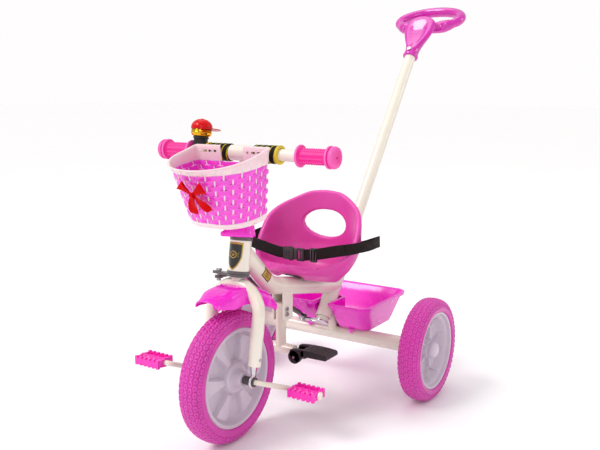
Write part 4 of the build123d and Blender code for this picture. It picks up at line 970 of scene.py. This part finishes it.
def build_bucket():
    """An open tub with a rolled rim, ribs on its floor and a lug under each side of its front."""
    tub = Shape()
    floor, rim, wall = 128.3, 195.0, 3.0
    levels = [(0.0, -7, floor), (0.0, -3.0, floor + 0.5), (0.01, -1.0, floor + 2.2), (0.05, 0, floor + 5)]
    levels += [(t, 0, floor + 66.7 * t) for t in (0.2, 0.4, 0.6, 0.8, 0.86)]
    levels += [(0.88, 0.6, rim - 8.0), (0.90, 3.4, rim - 8.3), (0.92, 4.6, rim - 7.6), (0.94, 4.9, rim - 5.6),
               (0.96, 4.3, rim - 4.4), (0.975, 4.3, rim - 3.2), (0.985, 4.8, rim - 1.8),
               (1.0, 3.6, rim - 0.4),
               (1.0, 1.8, rim), (1.0, -0.6, rim - 0.2), (1.0, -2.2, rim - 1.4)]
    levels += [(t, -wall, floor + 66.7 * t) for t in (0.9, 0.7, 0.5, 0.3, 0.15)]
    levels += [(0.09, -wall - 0.6, floor + 6.0), (0.06, -wall - 2.2, floor + 4.0),
               (0.05, -wall - 5, floor + 3.2),
               (0.05, -wall - 9, floor + 3.0)]
    rows = [[(x, y, z) for x, y in bucket_outline(share, grow)] for share, grow, z in levels]
    tub.grid(rows, wrap=True, caps=True)
    for side in (1, -1):
        lug = ((side * 54.88, REAR_Y - 16.9, floor + 1), (1, 0, 0), (0, 0, 1))
        tub.prism([(-8, 0), (8, 0), (2, -8.4), (-2, -8.4)], lug, 0, 2.6)
        for k in range(3):
            tub.block((side * (34 + 22 * k), REAR_Y + 40, floor + 3.4), (3, 88, 1.6), chamfer=0.5)
    return tub


piece("bucket_tub", build_bucket(), "frame", magenta, ["rear_bucket"], bevel=0.5, angle=40)


# ---- mudguard and stem cover ---------------------------------------------------------------------
def wheel_point(x, radius, angle):
    """A point over the front wheel, at an angle behind the steering axis."""
    turn = radians(angle) + atan2(STEER[3][1], STEER[3][2])
    return FRONT + np.array([x, radius * sin(turn), radius * cos(turn)])


GUARD_FRONT, GUARD_BEHIND = 32, 38       # how far it reaches round the wheel, in degrees
GUARD_TOP, GUARD_HALF = 176, 36


def build_guard():
    """Mudguard skin, narrowing to both ends."""
    rows = []
    for angle in np.linspace(-GUARD_FRONT, GUARD_BEHIND, 90):
        to_front, to_back = step_up(-angle, 18, GUARD_FRONT), step_up(angle, 20, GUARD_BEHIND)
        skirt = 32 - 15 * to_front - 10 * to_back
        half = GUARD_HALF - 10 * to_front - 7.0 * to_back + 1.5 * step_up(-angle, 28, GUARD_FRONT)
        section = [(-half, GUARD_TOP - skirt), (-half, 172 - skirt * 0.55), (-half + 2.0, 166.5),
                   (-half + 8, 172.4), (-half + 18, 175.4), (0, GUARD_TOP)]
        section += [(-x, r) for x, r in section[-2::-1]]
        line = curve_through(np.array(section, float), 57)
        rows.append([wheel_point(x, min(r, 175.9) - 2.2 * to_front * (abs(x) / GUARD_HALF) ** 2, angle)
                     for x, r in line])
    return Shape().grid(rows)


piece("guard_shell", build_guard(), "steering", magenta, ["mudguard"], shell=2.4,
      bevel=0.8,
      angle=60)


def build_guard_mounts():
    """The block between guard and crown, and the rib down towards the tyre."""
    mounts = Shape()
    mounts.block(steer(0, 0, 163), (60, 42, 22), (STEER[1], STEER[2], STEER[3]), 0.3)
    rib = []
    for low, across, deep in ((146, 3.0, 2.2), (152, 3.2, 2.6), (160, 4.2, 3.6), (167, 7.5, 6),
                              (173.5, 13, 9)):
        rib.append([wheel_point(across * cos(tau * k / 24), low, -25 + deg_span(deep * sin(tau * k / 24),
                                                                                low))
                    for k in range(24)])
    mounts.grid(rib, wrap=True, caps=True)
    return mounts


def deg_span(length, radius):
    return length / radius * 180 / pi


piece("guard_mounts", build_guard_mounts(), "steering", magenta, bevel=1.2)


def teardrop(radius, reach, tip, count=96):
    """A circle drawn out forward to a small round tip."""
    spread = np.arccos((radius - tip) / reach) if reach > radius else 0.0
    out = []
    if reach <= radius - tip + 0.5:
        return [(radius * sin(tau * k / count), radius * cos(tau * k / count)) for k in range(count)]
    main = int(count * 0.62)
    for k in range(main):
        a = -(pi - spread) + 2 * (pi - spread) * k / (main - 1)
        out.append((radius * sin(a), radius * cos(a)))
    side = int(count * 0.12)
    start, end = np.array(out[-1]), np.array([tip * sin(pi - spread), -reach + tip * cos(pi - spread)])
    for k in range(1, side):
        out.append(tuple(start + (end - start) * k / side))
    nose = count - main - 2 * (side - 1)
    for k in range(nose):
        a = (pi - spread) + 2 * spread * k / (nose - 1)
        out.append((tip * sin(a), -reach + tip * cos(a)))
    start, end = end * [-1, 1], np.array(out[0])
    for k in range(1, side):
        out.append(tuple(start + (end - start) * k / side))
    return out


def build_stem_cover():
    cover = Shape()
    rows = []
    for up, radius, reach in ((266.8, 23.0, 56), (267.6, 24.6, 58), (270, 25.2, 59.4), (273.6, 25.2, 59.4),
                              (275.2, 24.4, 57.5), (278, 23.6, 50), (283, 22.4, 40), (290, 20.8, 31),
                              (297, 19.2, 25.2),
                              (301.5, 18.0, 22.4), (303.6, 16.6, 20.4), (304, 14.6, 17.6)):
        rows.append([steer(x, back, up) for x, back in teardrop(radius, reach, 3.0)])
    cover.grid(rows, wrap=True, caps=True)
    for turn in (35, 145, 215, 325):
        a = radians(turn)
        ridge = [steer(r * cos(a), r * sin(a), up) for up, r in ((269, 25.0), (276, 23.6), (288, 21.0),
                                                                 (301, 17.2))]
        cover.tube(curve_through(ridge, 16), 1.6, 10)
    return cover


piece("stem_cover_moulded", build_stem_cover(), "steering", magenta, ["stem_cover"],
      bevel=0.7,
      angle=50)


# ---- bell ----------------------------------------------------------------------------------------
BELL = steer(-107, BAR_BACK, BAR_UP)
UP = STEER[3]
cup = Shape().lathe(BELL, UP, soften([
    (27.1, 2.8), (27.1, 12), (28.2, 17.2), (31.0, 19.4), (33, 19.8), (34, 20.3), (35.2, 20.4), (36.2, 19.8),
    (40.0, 19.6), (40.8, 19.2), (40.6, 18.2), (35, 18.2), (31.6, 18.0), (29.4, 16.2), (28.4, 12),
    (28.4, 2.8)],
    1.0, 3, True), 72)
piece("bell_cup", cup, "steering", gold, ["bell_dome"], angle=50)


def build_bell_clamp():
    """Moulded saddle on the handlebar that the bell stands on."""
    saddle = Shape().lathe(BELL, UP, soften([
        (10.6, 0.02), (10.6, 12.0), (15, 14.2), (23, 13.4), (24.4, 15.4), (26.9, 15.4), (27.0, 2.5),
        (41, 2.5),
        (41, 0.02)], 0.8, 3, False), 56, closed=False)
    band = soften([(101.4, 11.05), (101.4, 14.4), (112.8, 14.4), (112.8, 11.05)], 0.8, 3, True)
    return saddle.lathe(bar(0), (-1, 0, 0), band, 56)


piece("bell_saddle", build_bell_clamp(), "steering", black_plastic, ["bell_base"], angle=50)


def build_bell_cap():
    """A sporty half dome of six gores with a button on top and a thumb brim."""
    def gores(along, radius, turn):
        seam = abs(((turn / tau * 6) % 1) - 0.5) * 2
        return radius - 0.5 * max(0, seam - 0.86) / 0.14 * min(1, radius / 8)
    dome = Shape().lathe(BELL, UP, soften([
        (41.6, 18.8), (41.4, 20.4), (42.6, 20.9), (47.5, 20.7), (52.5, 18.9), (57, 15.0), (60.4, 9),
        (61.4, 4.0),
        (62.1, 2.4), (62.8, 0.02), (55, 0.02), (54.0, 12.5), (47, 18.6)], 0.9, 3, True), 96, radius_fn=gores)
    rows = []
    for k in range(41):
        a = radians(-60 + 3.0 * k)
        reach = 19.8 + 20.6 * max(0, cos(a * 1.5)) ** 0.5
        droop = -3.0 * (1 - cos(a)) * 1.6
        rows.append([BELL + STEER[1] * (r * cos(a)) + STEER[2] * (r * sin(a))
                     + UP * (43.6 + droop - 1.4 * ((r - 19) / 22)) for r in np.linspace(18.6, reach, 9)])
    return dome, Shape().grid(rows)


dome, brim = build_bell_cap()
piece("bell_cap_dome", dome, "bell_cap", cap_red, ["bell_cap"], angle=50)
piece("bell_cap_brim", brim, "bell_cap", cap_red, shell=1.5, offset=0.0, bevel=0.4)


# ---- handlebar foam and grips --------------------------------------------------------------------
WRAP_START, WRAP_END = 28, 79
WRAP_BORE = 11.1


def build_wrap(side):
    """Foam pad with one groove wound along it."""
    centre = bar(0)
    rows = []
    for x in np.linspace(WRAP_START, WRAP_END, 109):
        row = []
        for k in range(120):
            turn = tau * k / 120
            phase = (side * x / WRAP_PITCH + turn / tau + 40) % 1
            edge = min(1, max(0, min(x - WRAP_START, WRAP_END - x) / 2.4))
            groove = 0.5 - 0.5 * cos(min(1.0, phase / 0.2) * tau) if phase < 0.2 else 0.0
            crown = 0.35 * sin((phase - 0.2) / 0.8 * pi) if phase > 0.2 else 0.0
            r = 14.85 + 1.8 * sqrt(max(0, 1 - (1 - edge) ** 2)) - 1.6 * groove + crown
            row.append(centre + np.array([side * x, r * cos(turn), r * sin(turn)]))
        rows.append(row)
    foam = Shape().grid(rows, wrap=True)
    for x in (WRAP_START, WRAP_END):
        end = [[centre + np.array([side * x, r * cos(tau * k / 120), r * sin(tau * k / 120)])
                for k in range(120)]
               for r in (14.85, WRAP_BORE)]
        foam.grid(end, wrap=True)
    return foam


for hand, side in SIDES.items():
    piece("foam_wrap_" + hand, build_wrap(side), "steering", wrap_foam,
          ["foam_wraps"] if side > 0 else (), angle=60, merge=0.002)
    ring_profile = soften([(79.1, 11.2), (79.1, 17.6), (84.4, 17.6), (84.4, 11.2)], 1.8, 5, True)
    piece("foam_ring_" + hand, Shape().lathe(bar(0), (side, 0, 0), ring_profile, 72), "steering",
          yellow_foam, ["foam_rings"] if side > 0 else (), angle=60)


def build_grip(side):
    """Soft grip: thin inner flange, rows of small bumps, a double flange and a closed end with a hole."""
    profile = [(124, 11.1), (124, 19.5), (124.8, 20.4), (127.4, 20.4), (128.4, 19.4), (129.2, 16.5),
               (130.4, 14.4)]
    body = [(a, 14.1) for a in np.linspace(131.5, 182, 150)]
    profile += body
    profile += [(183, 14.4), (184.4, 16.2), (185, 19.2), (186, 20.4), (188.6, 20.4), (189.6, 19.2),
                (190.2, 17.6), (191.4, 17.4), (192.2, 18.8), (193.4, 19.9), (198, 19.6), (200.8, 18.2),
                (202.2, 15.0), (202.4, 8), (201.4, 5.2), (201.4, 3.4), (199.5, 2.6), (198.4, 2.5),
                (198.4, 0.02)]

    def bumps(a, r, turn):
        if not 131.5 < a < 182:
            return r
        fade = min(1, (a - 131.5) / 3, (182 - a) / 3)
        row = max(0.0, cos(turn * 12)) ** 0.7
        bead = 0.5 + 0.5 * cos(tau * a / 4.6)
        return r - 0.7 + fade * (0.4 * row + 1.6 * row * bead)
    return Shape().lathe(bar(0), (side, 0, 0), profile, 144, closed=False, radius_fn=bumps)


for hand, side in SIDES.items():
    piece("grip_moulded_" + hand, build_grip(side), "steering", grip_pink, ["grip_" + hand],
          angle=55,
          merge=0.002)


# ---- pedals --------------------------------------------------------------------------------------
def toothed_bar(shape, pin, side, low, high):
    """A side bar of the pedal, from low to high in y, with square teeth along its top and bottom."""
    inner, teeth, tooth, gap = 98.6, 6, 5.9, 4.7
    crest, root = 8.6, 5.6
    upper = []
    for k in range(teeth):
        x = inner + k * (tooth + gap)
        upper += [(x, root), (x, crest), (x + tooth, crest), (x + tooth, root)]
    outline = [(side * u - pin[0], v) for u, v in upper + [(u, -v) for u, v in upper[::-1]]]
    middle, half = (low + high) / 2, (high - low) / 2
    shape.prism(outline, (pin + np.array([0, middle, 0]), (1, 0, 0), (0, 0, 1)), -half, half)


def build_pedal(hand, side):
    pin = np.array(JOINTS[f"pedal_{hand}_spin"]["pos_m"]) * 1000
    shape = Shape()
    for low, high in ((-20.6, -14.6), (14.6, 20.6)):
        toothed_bar(shape, pin, side, low, high)
    plate = [(-18, -5), (-18, 5), (-9, 7.6), (9, 7.6), (18, 5), (18, -5), (9, -7.6), (-9, -7.6)]
    for x in (100.6, 154.2):
        shape.prism(plate, ((side * x, pin[1], pin[2]), (0, 1, 0), (0, 0, 1)), -2.3, 2.3)
    for x in (114, 127.5, 141):
        shape.block((side * x, pin[1], pin[2]), (3.4, 32, 7.6), chamfer=0.3)
    barrel = [(98, 5.2), (98, 8.6), (102, 8.8), (104, 7.6), (112, 7.4), (114, 8.4), (116, 7.4), (125.5, 7.4),
              (127.5, 8.4), (129.5, 7.4), (139, 7.4), (141, 8.4), (143, 7.4), (151, 7.6), (153, 8.8),
              (157, 8.6),
              (157, 5.2)]
    shape.lathe((0, pin[1], pin[2]), (side, 0, 0), barrel, 48)
    return shape


for hand, side in SIDES.items():
    piece("pedal_body_" + hand, build_pedal(hand, side), "pedal_" + hand, pedal_pink,
          ["pedal_" + hand],
          bevel=0.9, segments=2)


# ---- fork ends -----------------------------------------------------------------------------------
for hand, side in SIDES.items():
    loop = Shape()
    x = side * 55
    eye = [FRONT + np.array([x, 10.0 * sin(a), 10.0 * cos(a)]) for a in full_turn(48)]
    loop.tube(eye, 3.3, 18, closed=True, up=(1, 0, 0), flat=0.78)
    neck = curve_through([steer(x, 0, up) for up in (48, 34, 27, 19, 12.5)], 30)
    loop.tube(neck, np.interp(np.linspace(0, 1, 30), (0, 0.45, 0.75, 1), (9.8, 9.6, 7.2, 5.2)), 28, flat=0.72,
              up=(1, 0, 0))
    for low, high in ((1.2, 2.6), (-2.6, -1.2)):
        flange = soften([(low, 7.2), (low, 8.4), (high, 8.4), (high, 7.2)], 0.4, 3, True)
        loop.lathe(FRONT + np.array([x, 0, 0]), (1, 0, 0), flange, 40)
    piece("fork_loop_" + hand, loop, "steering", chrome, ["fork_ends"] if side > 0 else (),
          angle=50)


# ---- footrests -----------------------------------------------------------------------------------
def build_footrest(hand, side):
    pivot = np.array(JOINTS[f"footrest_{hand}_fold"]["pos_m"]) * 1000
    rest = Shape()
    tread = soften([(62, 4.6), (72, 4.8), (121, 5.4), (124, 8), (124, 14), (121, 16.6), (104, 18.0),
                    (88, 18.4), (62, 17.8)], 3, 4, True)
    plate = ((0, pivot[1], pivot[2]), (1, 0, 0), (0, 0, 1))
    rest.prism([(side * u, v) for u, v in tread], plate, -22, 22)
    cheek = soften([(36, 0), (36, 14.6), (46, 16.2), (60, 17.6), (70, 17.6), (70, 4.4), (60, -4), (56, -10)],
                   2.5, 3, True)
    round_boss = [(pivot[0] + 13.9 * cos(tau * k / 40), 13.9 * sin(tau * k / 40)) for k in range(40)]
    for near, far in ((-22, -12), (12, 22)):
        rest.prism([(side * u, v) for u, v in cheek], plate, near, far)
        rest.prism(round_boss, plate, near, far)
    for k in range(6):
        x = 74 + 8.2 * k
        z = pivot[2] + np.interp(x, (62, 88, 104, 121), (17.6, 18.4, 18.0, 16.6))
        rest.block((side * x, pivot[1], z), (2.6, 37, 1.6), chamfer=0.5)
    return rest


for hand, side in SIDES.items():
    piece("footrest_tread_" + hand, build_footrest(hand, side), "footrest_" + hand,
          black_plastic,
          ["footrest_" + hand], bevel=1.4, segments=3)


# ---- badge and label -----------------------------------------------------------------------------
def shield_half(v):
    """Half-width of the badge at a height above its middle."""
    return float(np.interp(v, (-24, -21, -16, -10, -3, 6, 20), (0.02, 4.4, 8.6, 12.0, 14.4, 15.2, 15.2)))


def wrapped(points, radius):
    """Points (across, up) laid round the head tube's front."""
    return [steer(radius * sin(u / 20.5), -radius * cos(u / 20.5), 232 + v) for u, v in points]


def shield_sheet(scale, radius, slot, shape, drop=0.0):
    rows = []
    for v in np.concatenate([np.linspace(-24, -18, 9), np.linspace(-17, 20, 26)]):
        half = shield_half(v)
        rows.append(wrapped([(half * scale * s, v * scale + drop) for s in np.linspace(-1, 1, 21)], radius))
    shape.grid(rows, slot=slot)


badge = Shape()
shield_sheet(1.2, 20.95, 0, badge)
shield_sheet(1.05, 21.15, 1, badge, -0.4)
badge.grid([wrapped([(r * cos(a), 1 + r * sin(a)) for a in full_turn(40)], 21.35) for r in (7.2, 5.6)],
           wrap=True)
for k in range(5):
    a = pi / 2 + tau * k / 5
    spoke = [(1.0 * cos(a + 1.2), 1 + 1.0 * sin(a + 1.2)), (5.0 * cos(a), 1 + 5.0 * sin(a)),
             (1.0 * cos(a - 1.2), 1 + 1.0 * sin(a - 1.2))]
    badge.grid([wrapped(spoke, 21.35), wrapped([(0, 1), (0, 1), (0, 1)], 21.35)], slot=0)
for side in (1, -1):
    for k in range(3):
        feather = [(side * (8.6 + t * 4.0), -3.5 + 3.6 * k + t * (5.0 - k)) for t in np.linspace(0, 1, 6)]
        low = [(u - side * 0.2, v - 1.5 * (1 - i / 6)) for i, (u, v) in enumerate(feather)]
        badge.grid([wrapped(feather, 21.35), wrapped(low, 21.35)], slot=0)
piece("badge_shield", badge, "frame", [badge_gold, badge_black], ["head_badge"], shell=0.3,
      offset=-1.0,
      merge=0.0)

TUBE_FRONT, TUBE_BEND = np.array([0, REAR_Y - 357, 369.0]), np.array([0, REAR_Y - 258, 275.0])
ALONG = unit(TUBE_BEND - TUBE_FRONT)
ACROSS = np.cross(ALONG, (1.0, 0, 0))


def on_tube(u, v, radius):
    """A point on the main tube's left, u along it and v round it."""
    middle = TUBE_FRONT + (TUBE_BEND - TUBE_FRONT) * 0.66
    outward = np.array([1.0, 0, 0]) * cos(v / 18.5) + ACROSS * sin(v / 18.5)
    return middle + ALONG * u + outward * radius


def label_sheet(half_u, half_v, radius, slot, shape):
    rows = [[on_tube(u, v, radius) for v in np.linspace(-half_v, half_v, 17)]
            for u in np.linspace(-half_u, half_u, 17)]
    shape.grid(rows, slot=slot)


label = Shape()
label_sheet(14.2, 10.4, 18.75, 1, label)
label_sheet(12.4, 8.8, 18.95, 0, label)
for k in range(3):
    rows = [[on_tube(u, v - 4.6 + 4.6 * k, 19.1) for v in (-0.7, 0.7)] for u in (-7.5, 0, 7.5 - 3 * (k == 1))]
    label.grid(rows, slot=1)
piece("tube_label", label, "frame", [badge_gold, badge_black], ["side_label"], shell=0.25,
      offset=-1.0,
      merge=0.0)


# ---- push handle ---------------------------------------------------------------------------------
RING_CENTRE, RING_RISE = np.array([0, REAR_Y + 500.7, 850.3]), radians(28.7)
RING_A, RING_B = 85.8, 53.6


def on_ring(turn, out=0.0, lift=0.0):
    """A point of the hand ring's centre line, turned from its right end towards the front."""
    along = np.array([0, cos(RING_RISE), sin(RING_RISE)])
    above = np.array([0, -sin(RING_RISE), cos(RING_RISE)])
    x, y = RING_A * cos(turn), RING_B * sin(turn)
    away = unit(np.array([x / RING_A ** 2, y / RING_B ** 2]))
    return RING_CENTRE + np.array([1.0, 0,
                                   0]) * (x + out * away[0]) + along * (y + out * away[1]) + above * lift


def build_handle():
    handle = Shape()
    turns = full_turn(140)
    from_neck = np.abs((turns + pi / 2 + pi) % tau - pi)
    lobe = np.exp(-((from_neck - 0.66) / 0.24) ** 2)
    waist = np.exp(-((from_neck - 1.06) / 0.13) ** 2)
    radius = 13.2 + 2.9 * lobe - 1.6 * waist
    handle.tube([on_ring(t) for t in turns], radius, 32, closed=True, up=(0, -sin(RING_RISE), cos(RING_RISE)))
    for side in (1, -1):
        for out, lift, ahead in ((13.2, 6, 0.60), (14.4, 1, 0.74), (11.8, 8.5, 0.76), (12.6, -3.5, 0.58)):
            centre = on_ring(-pi / 2 + side * ahead, out, lift)
            bead = [(-4, 0.02), (-2.9, 2.7), (0, 4.0), (2.9, 2.7), (4, 0.02)]
            handle.lathe(centre, (0, 0, 1), bead, 16, closed=False)
    rows = []
    for up, across, thick, scoop in ((737.5, 17.6, 17.6, 0), (738.4, 19.6, 19.2, 0), (742, 20.2, 19.6, 0),
                                     (747, 18.2, 18.2, 0), (753, 17.6, 17.6, 0), (762, 18.4, 17.4, 0.1),
                                     (772, 21.0, 16.8, 0.3), (784, 26.0, 15.8, 0.5), (797, 32.0, 14.6, 0.62),
                                     (811, 37.6, 13.4, 0.66), (825, 41.6, 12.6, 0.62), (838, 43.0, 12.2, 0.5),
                                     (849, 41.0, 11.8, 0.36), (858, 35.0, 11.0, 0.22), (865, 26.0, 9.6, 0.1),
                                     (869.5, 14.0, 7.0, 0), (871, 4.0, 3.0, 0)):
        row = []
        for k in range(64):
            a = tau * k / 64
            x, v = across * cos(a), thick * sin(a)
            if v < 0:
                v *= 1 - scoop * np.exp(-(x / (0.66 * across)) ** 4)
            row.append(pole(x, v, up))
        rows.append(row)
    handle.grid(rows, wrap=True, caps=True)
    return moulded(handle, 1.9, 5)


piece("hand_ring", build_handle(), "push_pole", handle_magenta, ["pole_handle"], angle=80)


# ---- CAD pieces that keep their shape ------------------------------------------------------------
FINISHES = {
    paint: "main_frame rear_frame hanger_bracket footrest_carrier fork_blades steerer_tube handlebar_stem "
           "handlebar crank_axle",
    pole_paint: "push_pole",
    black_metal: "headset_cups steering_arm seat_bracket steering_rod basket_bracket",
    black_plastic: "beam_spacers pole_bushes hub_spacers axle_bushes",
    zinc: "headset_bearings footrest_pins frame_screws rear_axle axle_nuts steering_screws pole_screws",
    chrome: "crank_plate",
}
for finish, names in FINISHES.items():
    for name in names.split():
        data = frame["nodes"][name].data
        data.materials.clear()
        data.materials.append(finish)
        data.shade_smooth()
        data.set_sharp_from_angle(angle=radians(34))


# ---- camera, light and floor ---------------------------------------------------------------------
def aim(obj, position, target):
    obj.location = position
    obj.rotation_euler = (Vector(target) - Vector(position)).to_track_quat("-Z", "Y").to_euler()


CAMERA_AT, CAMERA_LOOKS_AT = (0.860, -1.491, 0.656), (-0.4815, 0.5734, 0.2297)   # metres
CAMERA_LENS, SENSOR_WIDTH = 45.54, 36.0
LIT_MIDDLE = (0, -0.05, 0.3)
AMBIENT, BACKGROUND = 0.68, 1.0          # the world as light, and as the camera sees it

camera = bpy.data.objects.new("camera", bpy.data.cameras.new("camera"))
bpy.context.scene.collection.objects.link(camera)
camera.data.lens, camera.data.sensor_width = CAMERA_LENS, SENSOR_WIDTH
aim(camera, CAMERA_AT, CAMERA_LOOKS_AT)
bpy.context.scene.camera = camera


def lamp(name, kind, position, colour, energy, **settings):
    data = bpy.data.lights.new(name, kind)
    data.energy, data.color = energy, colour
    for key, value in settings.items():
        setattr(data, key, value)
    holder = bpy.data.objects.new(name, data)
    bpy.context.scene.collection.objects.link(holder)
    aim(holder, position, LIT_MIDDLE)


lamp("key", "SUN", (-1.6, -2.2, 3.4), (1.0, 0.99, 0.98), 1.55, angle=radians(24))
lamp("front", "AREA", (1.6, -3.2, 1.9), (1.0, 0.99, 0.99), 13, shape="DISK", size=1.6)
lamp("rim", "AREA", (2.6, 1.6, 1.8), (1.0, 1.0, 1.0), 12, shape="DISK", size=1.4)
lamp("top", "AREA", (-0.6, 0.4, 3.0), (1.0, 1.0, 1.0), 14, shape="DISK", size=1.8)

world = bpy.data.worlds.new("studio")
bpy.context.scene.world = world
world.use_nodes = True
tree = world.node_tree
sky = tree.nodes["Background"]
sky.inputs["Color"].default_value = (1.0, 0.985, 0.99, 1)
seen = tree.nodes.new("ShaderNodeLightPath")
level = node(tree, "ShaderNodeMapRange", From_Min=0.0, From_Max=1.0, To_Min=AMBIENT, To_Max=BACKGROUND)
tree.links.new(seen.outputs["Is Camera Ray"], level.inputs["Value"])
tree.links.new(level.outputs["Result"], sky.inputs["Strength"])

floor_mesh = bpy.data.meshes.new("floor")
floor_mesh.from_pydata([(-40, -40, 0), (40, -40, 0), (40, 40, 0), (-40, 40, 0)], [], [(0, 1, 2, 3)])
floor = bpy.data.objects.new("floor", floor_mesh)
bpy.context.scene.collection.objects.link(floor)
floor_mesh.materials.append(material("floor_white", (254, 254, 254), 0.6, spread=0.01, patch=400, grain=0.05,
                                     grain_size=3.0))
bpy.context.scene.view_settings.view_transform = "Standard"
